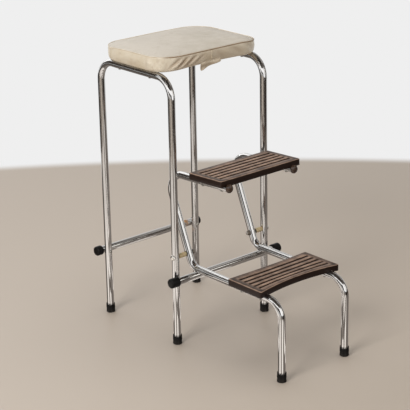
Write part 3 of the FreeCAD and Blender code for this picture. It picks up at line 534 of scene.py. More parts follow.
set_screws(
    "cross_tube_screws",
    [
        (sign * LEG_X, back, height) for _, sign in SIDES for back, height in
        ((FRONT_LEG_Y + TUBE_RADIUS + PLAY, RAILS[0][2]), (REAR_LEG_Y - TUBE_RADIUS - PLAY, RAILS[1][2]))
    ],
    [(0, forward, 0) for _ in SIDES for forward in (-1, 1)], RAIL_SCREW, "frame", "rail_screws",
)
set_screws(
    "seat_screws_under",
    [(sign * LEG_X, back, TOP_RUN_Z - TUBE_RADIUS - PLAY) for _, sign in SIDES for back in SEAT_SCREW_Y],
    [(0, 0, 1)] * 4, SEAT_SCREW, "frame", "seat_screws", FLAT_PAN_HEIGHT,
)
# The rails' nuts keep their CAD shape.
nut_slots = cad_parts["rail_nuts"].data.materials
nut_slots.clear()
nut_slots.append(zinc)


# --- Seat board --------------------------------------------------------------------------------
# A plywood blank, sawn to the seat's outline, that the foam and the cover are stretched over. It has warped
# a little upwards along its front edge. Only its underside can be seen, inside the cover's stapled hem.

SEAT_MIDDLE_Y = 0.160825
SEAT_HALF_X = 0.1695
SEAT_HALF_Y = 0.130
SEAT_CORNER = 0.066
SEAT_BOTTOM = 0.7088
BOARD_INSET = 0.009
BOARD_THICKNESS = 0.012
BOARD_EDGE = 0.0008
BOARD_WARP = 0.0052
CLOTH = 0.0009
RIM_POINTS = 240


def seat_outline(inset, height, count=RIM_POINTS):
    """Points of the seat's rounded outline, drawn in by an inset, with their outward directions."""
    half_x, half_y = SEAT_HALF_X - inset, max(SEAT_HALF_Y - inset, 0.0004)
    corner = min(max(SEAT_CORNER - inset, 0.012), half_y)
    straight_x, straight_y = 2 * (half_x - corner), 2 * (half_y - corner)
    quarter = corner * math.pi / 2
    total = 2 * straight_x + 2 * straight_y + 4 * quarter
    # Each run's length, where it starts or has its centre, and its heading or its first bearing.
    runs = (
        (straight_x, (-straight_x / 2, -half_y), (1, 0), None),
        (quarter, (straight_x / 2, -half_y + corner), None, -90),
        (straight_y, (half_x, -straight_y / 2), (0, 1), None),
        (quarter, (half_x - corner, straight_y / 2), None, 0),
        (straight_x, (straight_x / 2, half_y), (-1, 0), None),
        (quarter, (-straight_x / 2, half_y - corner), None, 90),
        (straight_y, (-half_x, straight_y / 2), (0, -1), None),
        (quarter, (-half_x + corner, -straight_y / 2), None, 180),
    )
    found = []
    for k in range(count):
        along = total * k / count
        for length, origin, heading, start in runs:
            if along <= length:
                break
            along -= length
        if heading:
            spot = (origin[0] + heading[0] * along, origin[1] + heading[1] * along)
            out = (heading[1], -heading[0])
        else:
            angle = math.radians(start) + along / corner
            out = (math.cos(angle), math.sin(angle))
            spot = (origin[0] + corner * out[0], origin[1] + corner * out[1])
        found.append((Vector((spot[0], spot[1] + SEAT_MIDDLE_Y, height)), Vector((out[0], out[1], 0))))
    return found


def stacked_rings(name, levels, count):
    """A closed form through outline rings given as (inset, height), capped flat at both ends."""
    points = [spot for inset, height in levels for spot, _ in seat_outline(inset, height, count)]
    rings = [tuple(range(k * count, (k + 1) * count)) for k in range(len(levels))]
    return mesh_from(name, points, strips(rings) + [rings[0], rings[-1]])


def make_plywood():
    # Rotary-cut veneer: long soft cathedral grain, raw and a little grey, edges in thin dark layers.
    material, tree, shader, place = new_material("raw plywood")
    stretched = add_node(tree, "ShaderNodeMapping", {"Vector": place, "Scale": (9.0, 95.0, 420.0)})
    grain = add_node(
        tree, "ShaderNodeTexNoise", {"Vector": stretched, "Scale": 1.0, "Detail": 6.0, "Distortion": 0.8},
    )
    colour = add_node(
        tree, "ShaderNodeValToRGB", {"Fac": grain},
        stops=((0.30, "#8A6844"), (0.52, "#B9935F"), (0.72, "#CBAA78")),
    )
    bump = add_node(tree, "ShaderNodeBump", {"Height": grain, "Strength": 0.3, "Distance": 0.0004})
    feed(shader, {"Base Color": colour, "Roughness": 0.75, "Normal": bump})
    return material


def clamp(value):
    """The value, kept from 0 to 1."""
    return min(1.0, max(0.0, value))


def ease(value):
    """A smooth step from 0 to 1."""
    value = clamp(value)
    return value * value * (3 - 2 * value)


def board_warp(spot):
    """How far the board stands up off its flat at a point: nothing over the tubes, most at the front edge."""
    across, ahead = spot[0] / 0.150, (SEAT_MIDDLE_Y + 0.03 - spot[1]) / 0.16
    if abs(across) >= 1:
        return 0.0
    return BOARD_WARP * (1 - abs(across) ** 2.5) * (1 - 0.22 * across) * ease(ahead)


under, over = SEAT_BOTTOM + CLOTH, SEAT_BOTTOM + BOARD_THICKNESS
board_insets = (0.13, 0.10, 0.06, 0.03, BOARD_INSET + BOARD_EDGE)
board_levels = [(inset, under) for inset in board_insets]
board_levels += [(BOARD_INSET, under + BOARD_EDGE), (BOARD_INSET, over - BOARD_EDGE)]
board_levels += [(inset, over) for inset in reversed(board_insets)]
board_mesh = stacked_rings("seat board", board_levels, 160)
for vertex in board_mesh.vertices:
    vertex.co.z += board_warp(vertex.co)
piece = make_piece("plywood_seat_board", board_mesh, "frame", make_plywood())
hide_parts("seat_board")


# --- Seat cushion ------------------------------------------------------------------------------
# Foam under vinyl cloth: a top panel and a boxing band, sewn together, drawn round the board and stapled
# under it. The band is loose and creased at the front, and the vinyl there has gone glossy and yellow.


def make_vinyl(name, pale, deep, grime_and_shade, gloss, shine):
    # Calendered PVC on a knit backing: a soft plastic shine, pebble grain, and yellowing in broad clouds.
    material, tree, shader, place = new_material(name)
    clouds = add_node(tree, "ShaderNodeTexNoise", {"Vector": place, "Scale": 14.0, "Detail": 5.0, "Roughness": 0.6})
    colour = add_node(
        tree, "ShaderNodeValToRGB", {"Fac": clouds},
        stops=((0.30, deep), (0.50, pale), (0.78, pale)),
    )
    stains = add_node(tree, "ShaderNodeTexNoise", {"Vector": place, "Scale": 46.0, "Detail": 6.0, "Roughness": 0.7})
    dirty = add_node(
        tree, "ShaderNodeMapRange",
        {"Value": stains, "From Min": 0.55, "From Max": 0.80, "To Min": 0.0, "To Max": 0.55},
    )
    # Dirt, and painted shade in the creases and along the seam, darken the cloth where the point attribute says.
    soiled = add_node(tree, "ShaderNodeAttribute", attribute_name="soil_and_shade")
    deepest = add_node(tree, "ShaderNodeMath", {0: dirty, 1: soiled.outputs["Fac"]}, operation="MAXIMUM")
    both = add_node(tree, "ShaderNodeMix", {0: deepest, 6: colour, 7: grime_and_shade}, data_type="RGBA")
    rough = add_node(
        tree, "ShaderNodeMapRange",
        {"Value": stains, "From Min": 0.3, "From Max": 0.7, "To Min": gloss, "To Max": gloss + 0.14},
    )
    # The pebble grain is 0.7 mm across; slack in the cloth makes ripples of about 30 mm.
    pebble = add_node(tree, "ShaderNodeTexVoronoi", {"Vector": place, "Scale": 1400.0})
    ripple = add_node(tree, "ShaderNodeTexNoise", {"Vector": place, "Scale": 42.0, "Detail": 3.0})
    fine = add_node(tree, "ShaderNodeBump", {"Height": pebble, "Strength": 0.10, "Distance": 0.0003})
    broad = add_node(
        tree, "ShaderNodeBump",
        {"Height": ripple, "Strength": 0.25, "Distance": 0.0022, "Normal": fine},
    )
    feed(shader, {
        "Base Color": both, "IOR": 1.52, "Specular IOR Level": shine, "Roughness": rough,
        "Normal": broad,
    })
    return material


top_vinyl = make_vinyl("vinyl cloth, rubbed top", "#BEB7AD", "#B4ADA1", "#9F9583", 0.46, 0.25)
band_vinyl = make_vinyl("vinyl cloth, yellowed band", "#DDD3C1", "#D3C6AE", "#8C6B49", 0.16, 0.5)

SEAM_UP = 0.0388
CROWN_RISE = 0.0012
# Rings of the cover from inside the board's top, round the board and its hem, up the band and over the top:
# inset, height above the seat's underside, and whether the ring is held while the foam swells.
COVER_RINGS = (
    (0.0600, 0.0132, 1), (0.0120, 0.0132, 1), (0.0086, 0.0128, 1), (0.0086, 0.0060, 1), (0.0088, 0.0007, 1),
    (0.0220, 0.0007, 1), (0.0300, 0.0007, 1), (0.0304, 0.0003, 1), (0.0300, 0.0000, 1), (0.0220, 0.0000, 1),
    (0.0120, 0.0000, 1), (0.0088, 0.0001, 1), (0.0066, 0.0010, 1), (0.0044, 0.0028, 1), (0.0028, 0.0054, 0),
    (0.0017, 0.0088, 0), (0.0011, 0.0128, 0), (0.0008, 0.0172, 0), (0.0007, 0.0216, 0), (0.0008, 0.0260, 0),
    (0.0009, 0.0304, 0), (0.0010, 0.0342, 0), (0.0009, 0.0370, 0), (0.0008, SEAM_UP, 1), (0.0026, 0.0402, 0),
    (0.0062, 0.0412, 0), (0.0110, 0.0420, 0), (0.0170, 0.0427, 0), (0.0250, 0.0433, 0),
)
# The flat middles, with fewer points on the rings where they would crowd: share of the rim, count.
MIDDLE_SHARES = ((0.84, 240), (0.70, 120), (0.56, 120), (0.42, 60), (0.28, 60), (0.15, 30), (0.06, 15))


def cover_mesh():
    """The cover as one closed skin, and which of its points are held."""
    points, faces, held = [], [], []
    rings = []
    for inset, up, kept in COVER_RINGS:
        rings.append(list(range(len(points), len(points) + RIM_POINTS)))
        points += [spot for spot, _ in seat_outline(inset, SEAT_BOTTOM + up)]
        held += rings[-1] if kept else []
    middle = Vector((0, SEAT_MIDDLE_Y, 0))
    for first, rise in ((rings[-1], CROWN_RISE), (rings[0], 0.0)):
        rim = [Vector(points[k]) for k in first]
        inner = [first]
        for share, count in MIDDLE_SHARES:
            ring = []
            for k in range(count):
                spot = rim[k * RIM_POINTS // count]
                ring.append(len(points))
                flat = middle + (Vector((spot.x, spot.y, 0)) - middle) * share
                points.append(Vector((flat.x, flat.y, spot.z + rise * (1 - share))))
            inner.append(ring)
            held += [] if rise else ring
        for low, high in zip(inner, inner[1:]):
            ratio = len(low) // len(high)
            for k in range(len(high)):
                after = (k + 1) % len(high)
                edge = [low[(k * ratio + j) % len(low)] for j in range(ratio + 1)]
                faces.append((*edge, high[after], high[k]))
        faces.append(tuple(inner[-1]))
    faces += strips(rings)
    mesh = bpy.data.meshes.new("cushion cover")
    mesh.from_pydata([tuple(point) for point in points], [], faces)
    made = bmesh.new()
    made.from_mesh(mesh)
    bmesh.ops.recalc_face_normals(made, faces=made.faces)
    made.to_mesh(mesh)
    made.free()
    return mesh, held


def copy_evaluated(source, name):
    """The object's mesh with its modifiers applied."""
    seen = source.evaluated_get(bpy.context.evaluated_depsgraph_get())
    mesh = bpy.data.meshes.new_from_object(seen)
    mesh.name = name
    return mesh


def puff(mesh, fixed, band_cap, top_cap):
    """Fills the closed cover with air in a short cloth run and limits how far each part may swell."""
    cushion = add_object("cushion_in_work", mesh)
    start = np.array([vertex.co[:] for vertex in mesh.vertices])
    held = cushion.vertex_groups.new(name="held")
    held.add(fixed, 1.0, "REPLACE")
    cloth = cushion.modifiers.new("air", "CLOTH")
    cloth.settings.quality = 7
    cloth.settings.mass = 0.25
    cloth.settings.tension_stiffness = 25
    cloth.settings.compression_stiffness = 25
    cloth.settings.bending_stiffness = 0.6
    cloth.settings.use_pressure = True
    cloth.settings.uniform_pressure_force = 4.0
    cloth.settings.vertex_group_mass = "held"
    cloth.settings.effector_weights.gravity = 0
    scene = bpy.context.scene
    for number in range(1, 21):
        scene.frame_set(number)
    swollen = copy_evaluated(cushion, "swollen cushion")
    scene.frame_set(1)
    cushion.modifiers.clear()
    cushion.data = swollen
    for vertex, before in zip(swollen.vertices, start):
        move = np.array(vertex.co) - before
        size = np.linalg.norm(move)
        cap = top_cap if before[2] > SEAT_BOTTOM + SEAM_UP else band_cap
        if size > cap:
            vertex.co = Vector(before + move * cap / size)
    return cushion


def round_place(spot):
    """Where a point is on the outline: its inset, the way along it from the front's middle, and outwards."""
    x, y = spot[0], spot[1] - SEAT_MIDDLE_Y
    core_x, core_y = SEAT_HALF_X - SEAT_CORNER, SEAT_HALF_Y - SEAT_CORNER
    over_x, over_y = abs(x) - core_x, abs(y) - core_y
    side = math.copysign(1, x)
    if over_x > 0 and over_y > 0:
        reach = max(math.hypot(over_x, over_y), 1e-9)
        out = Vector((side * over_x, math.copysign(over_y, y), 0)) / reach
        turn = math.atan2(over_x, over_y)
        if y < 0:
            return SEAT_CORNER - reach, side * (core_x + SEAT_CORNER * turn), out
        return SEAT_CORNER - reach, side * (core_x + SEAT_CORNER * (math.pi - turn) + 2 * core_y), out
    if over_x > over_y:
        return SEAT_CORNER - over_x, side * (core_x + SEAT_CORNER * math.pi / 2 + y + core_y), Vector((side, 0, 0))
    if y < 0:
        return SEAT_CORNER - over_y, x, Vector((0, -1, 0))
    return SEAT_CORNER - over_y, side * (2 * core_x + SEAT_CORNER * math.pi + 2 * core_y - abs(x)), Vector((0, 1, 0))


# Creases of the band, by the way along the outline from the front's middle (left is minus) and the height
# above the seat's underside: two ends, half width, and how far the cloth stands out or in.
FOLDS = (
    ((-0.146, 0.007), (-0.109, 0.034), 0.0042, -0.0026), ((-0.134, 0.006), (-0.098, 0.033), 0.0040, 0.0020),
    ((-0.121, 0.006), (-0.088, 0.032), 0.0040, -0.0028), ((-0.110, 0.006), (-0.076, 0.031), 0.0038, 0.0020),
    ((-0.096, 0.008), (-0.060, 0.033), 0.0042, -0.0026), ((-0.080, 0.008), (-0.052, 0.028), 0.0040, 0.0015),
    ((-0.066, 0.012), (-0.036, 0.029), 0.0040, -0.0016), ((-0.050, 0.004), (-0.028, 0.016), 0.0036, 0.0011),
    ((-0.208, 0.005), (-0.204, 0.031), 0.0036, -0.0009), ((-0.195, 0.016), (-0.192, 0.026), 0.0070, 0.0017),
    ((-0.182, 0.008), (-0.176, 0.012), 0.0088, 0.0027), ((-0.168, 0.006), (-0.161, 0.012), 0.0084, 0.0024),
    ((-0.172, 0.024), (-0.166, 0.034), 0.0034, -0.0009), ((-0.154, 0.004), (-0.144, 0.028), 0.0034, -0.0010),
    ((0.006, 0.030), (0.034, 0.008), 0.0060, -0.0010), ((0.030, 0.032), (0.056, 0.010), 0.0060, 0.0011),
    ((0.058, 0.033), (0.096, 0.012), 0.0064, -0.0014), ((0.086, 0.034), (0.116, 0.014), 0.0060, 0.0012),
    ((0.108, 0.033), (0.146, 0.012), 0.0064, -0.0014), ((0.140, 0.032), (0.176, 0.014), 0.0064, 0.0010),
    ((-0.330, 0.010), (-0.290, 0.018), 0.0060, 0.0009), ((-0.280, 0.006), (-0.236, 0.013), 0.0060, -0.0008),
    ((0.250, 0.010), (0.300, 0.026), 0.0060, -0.0011), ((0.330, 0.028), (0.380, 0.010), 0.0060, 0.0011),
    ((0.440, 0.012), (0.500, 0.024), 0.0064, -0.0010), ((-0.520, 0.026), (-0.450, 0.010), 0.0064, 0.0010),
)
FOLD_SCALE = 0.85
FOLD_REACH = 0.06
DEEP_FOLD = 0.0026
# The band's two ends are lapped and stitched left of the middle of the front.
BAND_JOIN = -0.0135
LAP_THICKNESS = 0.0007
# Up to here the band is creased; above, the seam holds it.
BAND_TOP = 0.0375
# Points of the cover nearer to the outline than this belong to the band.
BAND_DEPTH = 0.0084
SEAM_DEPTH = 0.0012
SEAM_WIDTH = 0.0013
# How far the air may move the band and the top.
BAND_SWELL = 0.0022
TOP_SWELL = 0.0036


def fold_height(along, up):
    """How far the band stands out at a place, and how deep that place lies in a crease."""
    total, sunk = 0.0, 0.0
    for (x0, z0), (x1, z1), width, height in FOLDS:
        if abs(along - (x0 + x1) / 2) > FOLD_REACH:
            continue
        run_x, run_z = x1 - x0, z1 - z0
        share = clamp(((along - x0) * run_x + (up - z0) * run_z) / (run_x ** 2 + run_z ** 2))
        away = math.hypot(along - x0 - share * run_x, up - z0 - share * run_z)
        lift = height * min(1.0, 0.25 + 3 * share * (1 - share)) * math.exp(-(away / width) ** 2)
        total += FOLD_SCALE * lift
        sunk = max(sunk, -lift / DEEP_FOLD)
    return total, sunk


SAG_RIGHT = 0.0072
SAG_REAR_LEFT = 0.0054
SAG_FRONT_RIGHT = 0.0060


def seat_sag(spot):
    """How far sitting has pressed the top edge down: nothing at the front left, most along the right."""
    across = spot[0] / (2 * SEAT_HALF_X) + 0.5
    back = (spot[1] - SEAT_MIDDLE_Y) / (2 * SEAT_HALF_Y) + 0.5
    right = ease(across * 2 - 1)
    corner = ease(across * 4 - 3) * ease(1 - back * 3)
    rear_left = (1 - right) * ease(back * 2 - 1)
    return SAG_RIGHT * right * ease(back / 0.34) + SAG_REAR_LEFT * rear_left + SAG_FRONT_RIGHT * corner


def along_stretch(along, left, left_fade, right, right_fade):
    """1 on a stretch of the outline, easing to 0 at its two ends."""
    return ease((along - left) / left_fade) * ease((right - along) / right_fade)


def seam_dirt_and_shade(along):
    """How dark the seam is made, by dirt and painted shade: most along the front."""
    return along_stretch(along, -0.165, 0.03, 0.20, 0.04)


def store_value(mesh, name, values):
    """Keeps one number for each point of a mesh, for its material."""
    mesh.attributes.new(name, "FLOAT", "POINT").data.foreach_set("value", values)


cushion = puff(*cover_mesh(), BAND_SWELL, TOP_SWELL)
finer = cushion.modifiers.new("finer", "SUBSURF")
finer.levels = finer.render_levels = 1
skin = copy_evaluated(cushion, "vinyl cushion")
bpy.data.objects.remove(cushion)
soil_and_shade = []
for vertex in skin.vertices:
    inset, along, out = round_place(vertex.co)
    up = vertex.co.z - SEAT_BOTTOM
    dirt_and_shade = 0.0
    shift = Vector((0, 0, 0))
    if inset < BAND_DEPTH and 0.0006 < up < BAND_TOP:
        fade = clamp(up / 0.006) * clamp((BAND_TOP - up) / 0.006)
        lift, sunk = fold_height(along, up)
        lap = LAP_THICKNESS * (ease((along - BAND_JOIN + 0.0016) / 0.0012) - ease((along - BAND_JOIN) / 0.012))
        shift += out * (lift * fade + lap * clamp(up / 0.004))
        # Legs and hands have greyed the front of the band and dirt lies along the lap; the creases are darkened by
        # their depth, partly dirt and partly painted shade.
        worn = 0.20 * along_stretch(along, -0.135, 0.03, 0.13, 0.12)
        lap_dirt = 0.50 * math.exp(-((along - BAND_JOIN + 0.0020) / 0.0010) ** 2)
        dirt_and_shade = max(worn + 0.50 * sunk * fade, lap_dirt)
    # The seam draws the cloth in to a sharp line all round; it is darkened there, most on the front, with dirt and
    # painted shade.
    seam = math.exp(-((up - SEAM_UP) / SEAM_WIDTH) ** 2) if inset < 0.012 else 0.0
    shift -= out * SEAM_DEPTH * seam
    dirt_and_shade = max(dirt_and_shade, (0.15 + 0.80 * seam_dirt_and_shade(along)) * seam)
    # Low down the cover follows the warped board, and higher up it sags with the foam.
    shift.z = board_warp(vertex.co) * clamp(1 - up / 0.030) - seat_sag(vertex.co) * clamp(up / SEAM_UP)
    vertex.co += shift
    soil_and_shade.append(dirt_and_shade)
store_value(skin, "soil_and_shade", soil_and_shade)
skin.shade_smooth()
skin.materials.clear()
skin.materials.append(top_vinyl)
skin.materials.append(band_vinyl)
for face in skin.polygons:
    over = face.center.z + seat_sag(face.center) - SEAT_BOTTOM > SEAM_UP - 0.0002
    face.material_index = 0 if over else 1
padded_seat = make_piece("vinyl_seat_cushion", skin, "frame", None)
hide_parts("seat_cushion")


# --- Welt and stitching ------------------------------------------------------------------------
# A thin bead of folded vinyl sewn into the seam around the top. Pale stitches close the band's lap, and
# steel staples hold the hem to the board's underside.

WELT_RADIUS = 0.0009
WELT_INSET = 0.0014
WELT_LIFT = 0.0004
# Staples with a 10 mm crown, one about every 24 mm, except over the two tubes and where the hem is torn.
STAPLE = {"Length": 0.010, "Wire": 0.0011, "Height": 0.0007}
STAPLE_INSET = 0.0180
STITCH = {"Length": 0.0024, "Wire": 0.0007, "Height": 0.0005}
STITCHES = 9
STITCH_PITCH = 0.0033
STITCH_START_UP = 0.0085
STITCH_ASIDE = 0.0022


def bead_mesh(name, spots, radius, around=10):
    """A closed ring of round section through spots."""
    points = []
    rings = [range(k * around, (k + 1) * around) for k in range(len(spots))]
    for k, spot in enumerate(spots):
        ahead = (spots[(k + 1) % len(spots)] - spots[k - 1]).normalized()
        side = ahead.cross(Vector((0, 0, 1))).normalized()
        up = side.cross(ahead)
        for j in range(around):
            angle = 2 * math.pi * j / around
            points.append(spot + (side * math.cos(angle) + up * math.sin(angle)) * radius)
    return mesh_from(name, points, strips(rings + rings[:1]))


welt_line = [
    spot - Vector((0, 0, seat_sag(spot)))
    for spot, _ in seat_outline(WELT_INSET, SEAT_BOTTOM + SEAM_UP + WELT_LIFT, 360)
]
bead = bead_mesh("seam welt", welt_line, WELT_RADIUS)
# The welt is darkened like the seam, most along the front: dirt and painted shade.
store_value(bead, "soil_and_shade", [0.10 + 0.75 * seam_dirt_and_shade(round_place(vertex.co)[1]) for vertex in bead.vertices])
make_piece("seam_welt", bead, "frame", band_vinyl)

staples, given = new_tree("staples and stitches", {
    "Length": "Float", "Wire": "Float", "Height": "Float", "Material": "Material",
})
size = add_node(staples, "ShaderNodeCombineXYZ", {
    "X": given["Length"], "Y": given["Wire"], "Z": given["Height"],
})
bar = add_node(staples, "GeometryNodeMeshCube", {"Size": size})
aim = add_node(staples, "GeometryNodeInputNamedAttribute", {"Name": "aim"}, data_type="FLOAT_VECTOR")
turn = add_node(staples, "FunctionNodeAlignRotationToVector", {"Vector": aim}, axis="X")
laid = add_node(
    staples, "GeometryNodeInstanceOnPoints",
    {"Points": given["Geometry"], "Instance": bar, "Rotation": turn},
)
close_tree(staples, laid, given["Material"])
spots, aims = [], []
for spot, out in seat_outline(STAPLE_INSET, SEAT_BOTTOM - 0.0001, 40):
    torn = -0.052 < spot.x < 0.024 and spot.y < SEAT_MIDDLE_Y - 0.10
    if not 0.137 < abs(spot.x) < 0.168 and not torn:
        spots.append(spot + Vector((0, 0, board_warp(spot))))
        aims.append((-out.y, out.x, 0))
grow("hem_staples", spots, staples, {**STAPLE, "Material": zinc}, "frame", zinc, aims)


def make_thread():
    # Bonded polyester thread: matte, once cream, grey with dirt.
    material, tree, shader, place = new_material("soiled polyester thread")
    twist = add_node(tree, "ShaderNodeTexNoise", {"Vector": place, "Scale": 1500.0, "Detail": 2.0})
    colour = add_node(
        tree, "ShaderNodeValToRGB", {"Fac": twist},
        stops=((0.35, "#CBBD9F"), (0.5, "#E4DAC2"), (0.7, "#EFE7D3")),
    )
    feed(shader, {"Base Color": colour, "Roughness": 0.8})
    return material


thread = make_thread()
skin_seen = padded_seat.evaluated_get(bpy.context.evaluated_depsgraph_get())
spots, aims = [], []
for k in range(STITCHES):
    height = SEAT_BOTTOM + STITCH_START_UP + STITCH_PITCH * k
    start = Vector((BAND_JOIN + STITCH_ASIDE, SEAT_MIDDLE_Y - SEAT_HALF_Y - 0.05, height))
    hit, where, _, _ = skin_seen.ray_cast(start, Vector((0, 1, 0)))
    if hit:
        spots.append(where - Vector((0, 0.0001, 0)))
        aims.append((0, 0, 1))
grow("lap_stitches", spots, staples, {**STITCH, "Material": thread}, "frame", thread, aims)


# --- Torn hem ----------------------------------------------------------------------------------
# Where the hem has pulled off its staples at the front, a tongue of the band hangs below the board.
# Vinyl cloth is 1 mm thick.

# Across, and how far the lower edge hangs below the seat's flat underside.
HEM = (
    (-0.0470, -0.0030), (-0.0464, 0.0050), (-0.0452, 0.0098), (-0.0425, 0.0096), (-0.0370, 0.0076),
    (-0.0290, 0.0050), (-0.0200, 0.0028), (-0.0100, 0.0008), (0.0010, -0.0010), (0.0110, -0.0030),
    (0.0190, -0.0046),
)


HEM_ROWS = 8
# Height of its upper edge above the underside, how far it is tucked in behind the outline at least, how much
# more of that at the underside, how deep it waves, and how far its lower edge curls out.
HEM_TOP = 0.0095
HEM_TUCK = 0.0030
HEM_TUCK_LOW = 0.0058
HEM_WAVE = 0.0022
HEM_CURL = 0.0060


def hem_mesh():
    """The torn piece of the hem, curling inwards as it hangs, with the cloth's thickness."""
    points = []
    for across, drop in HEM:
        spot = Vector((across, SEAT_MIDDLE_Y - SEAT_HALF_Y, 0))
        top = board_warp(spot) + HEM_TOP
        for row in range(HEM_ROWS):
            share = row / (HEM_ROWS - 1)
            hang = top - share * (drop + top)
            tucked = HEM_TUCK + HEM_TUCK_LOW * clamp(1 - hang / HEM_TOP) ** 2
            curl = HEM_WAVE * share * math.sin(across * 150.0 + 0.8) + HEM_CURL * share
            points.append((across, spot.y + tucked - curl, SEAT_BOTTOM + hang))
    faces = []
    for k in range(len(HEM) - 1):
        for row in range(HEM_ROWS - 1):
            a = k * HEM_ROWS + row
            faces.append((a, a + 1, a + HEM_ROWS + 1, a + HEM_ROWS))
    mesh = bpy.data.meshes.new("torn hem")
    mesh.from_pydata(points, [], faces)
    work = add_object("hem in work", mesh)
    work.modifiers.new("cloth", "SOLIDIFY").thickness = CLOTH
    round_off = work.modifiers.new("soft", "SUBSURF")
    round_off.levels = round_off.render_levels = 2
    made = copy_evaluated(work, "torn vinyl hem")
    bpy.data.objects.remove(work)
    made.shade_smooth()
    return made


tongue = hem_mesh()
# The lower it hangs, the darker it is made.
store_value(tongue, "soil_and_shade", [0.30 + 25 * max(0.0, SEAT_BOTTOM - vertex.co.z) for vertex in tongue.vertices])
make_piece("torn_hem", tongue, "frame", band_vinyl)


# --- Pivot fixings -----------------------------------------------------------------------------
# Each step tube swings on a domed bolt that goes through the leg, a yellowed plastic sleeve, the tube
# and two dark washers into a hexagon nut.

PIVOT = Vector((0, FRONT_LEG_Y, 0.238))
HEAD_RIM = 0.0044
PIVOT_BORE = 0.0031
# Radius and distance inwards: the bolt from its seat on the leg, the sleeve from the leg's inner face.
BOLT_PROFILE = (
    (0, -0.0040), (0.0018, -0.0039), (0.0036, -0.0034), (0.0053, -0.0026), (0.0066, -0.0014), (0.0073, -0.0003),
    (0.0075, 0.0004), (0.0075, 0.0010), (0.0045, 0.0010), (0.0030, 0.0004), (0.0030, 0.0710), (0.0022, 0.0719),
    (0, 0.0719),
)
SLEEVE_PROFILE = (
    (PIVOT_BORE, 0.0), (0.0060, 0.0), (0.0063, 0.0004), (0.0063, 0.0080), (0.00615, 0.0120), (0.0063, 0.0160),
    (0.0063, 0.0227), (0.0060, 0.0231), (PIVOT_BORE, 0.0231), (PIVOT_BORE, 0.0),
)
WASHERS_X = (0.1198, 0.0987)
WASHER_PROFILE = (
    (PIVOT_BORE, 0.0), (0.0067, 0.0), (0.0070, 0.0003), (0.0070, 0.0012), (0.0067, 0.0015), (PIVOT_BORE, 0.0015),
    (PIVOT_BORE, 0.0),
)
NUT_X = 0.0972
NUT_ACROSS_FLATS = 0.010
NUT_THICK = 0.0050
NUT_CORNER = NUT_ACROSS_FLATS / 2 / math.cos(math.pi / 6)
NUT_RINGS = (
    (0.9 * NUT_CORNER, 0.0), (NUT_CORNER, 0.0006), (NUT_CORNER, 0.0044), (0.9 * NUT_CORNER, NUT_THICK),
    (PIVOT_BORE, NUT_THICK), (PIVOT_BORE, 0.0),
)


def make_sleeve_plastic():
    # Extruded polyethylene gone yellow: soft shine, faint light inside, dirt in its scratches.
    material, tree, shader, place = new_material("yellowed polyethylene")
    stains = add_node(tree, "ShaderNodeTexNoise", {"Vector": place, "Scale": 160.0, "Detail": 5.0, "Roughness": 0.7})
    colour = add_node(
        tree, "ShaderNodeValToRGB", {"Fac": stains},
        stops=((0.30, "#D3C39C"), (0.56, "#C2AE84"), (0.76, "#7C6748")),
    )
    feed(shader, {"Base Color": colour, "Roughness": 0.42, "Subsurface Weight": 0.1, "Subsurface Scale": 0.002})
    return material


def make_blackened():
    # Oil-blackened steel: once nearly black, now rubbed to a brown-grey metal glint on most of its faces.
    material, tree, shader, place = new_material("rubbed oil-blackened steel")
    wear = add_node(tree, "ShaderNodeTexNoise", {"Vector": place, "Scale": 320.0, "Detail": 4.0})
    colour = add_node(
        tree, "ShaderNodeValToRGB", {"Fac": wear},
        stops=((0.35, "#4A433D"), (0.55, "#7E756B"), (0.80, "#A89C8C")),
    )
    feed(shader, {"Base Color": colour, "Metallic": 0.6, "Roughness": 0.42})
    return material


def make_nickel():
    # Nickel-plated head, polished by rubbing: bright, a little warm, with a few dark scratches.
    material, tree, shader, place = new_material("nickel plate on bolt heads")
    marks = add_node(tree, "ShaderNodeTexNoise", {"Vector": place, "Scale": 300.0, "Detail": 4.0})
    colour = add_node(
        tree, "ShaderNodeValToRGB", {"Fac": marks},
        stops=((0.28, "#9A938A"), (0.42, "#DCD8D0"), (0.80, "#E6E2DB")),
    )
    feed(shader, {"Base Color": colour, "Metallic": 1.0, "Roughness": 0.22})
    return material


def bolt_mesh(side, sign):
    """A bolt whose domed head has its rim pressed to the round of the leg."""
    head_seat = PIVOT + Vector((sign * (LEG_X + TUBE_RADIUS + PLAY), 0, 0))
    mesh = turned_mesh(f"pivot bolt {side}", BOLT_PROFILE, head_seat, (-sign, 0, 0), 40)
    for vertex in mesh.vertices:
        aside = vertex.co.y - PIVOT.y
        from_axis = math.hypot(aside, vertex.co.z - PIVOT.z)
        if from_axis > HEAD_RIM and sign * (head_seat.x - vertex.co.x) > 0.0003:
            vertex.co.x = sign * (LEG_X + math.sqrt(TUBE_RADIUS ** 2 - aside ** 2) + 0.00005)
    return mesh


def washers_mesh(side, sign):
    """Both washers of one side in one mesh."""
    points, faces = [], []
    for across in WASHERS_X:
        ring = turned_mesh("washer", WASHER_PROFILE, PIVOT + Vector((sign * across, 0, 0)), (-sign, 0, 0), 36)
        faces += [tuple(len(points) + k for k in face.vertices) for face in ring.polygons]
        points += [vertex.co[:] for vertex in ring.vertices]
    return mesh_from(f"washers {side}", points, faces)


def nut_mesh(side, sign):
    """A hexagon nut: rings of six points over its outside and back through its bore."""
    points = [
        PIVOT + Vector((
            sign * (NUT_X - along), radius * math.cos(k * math.pi / 3), radius * math.sin(k * math.pi / 3),
        )) for radius, along in NUT_RINGS for k in range(6)
    ]
    rings = [range(6 * k, 6 * k + 6) for k in range(len(NUT_RINGS))]
    return mesh_from(f"hexagon nut {side}", points, strips(rings + rings[:1]), smooth=False)


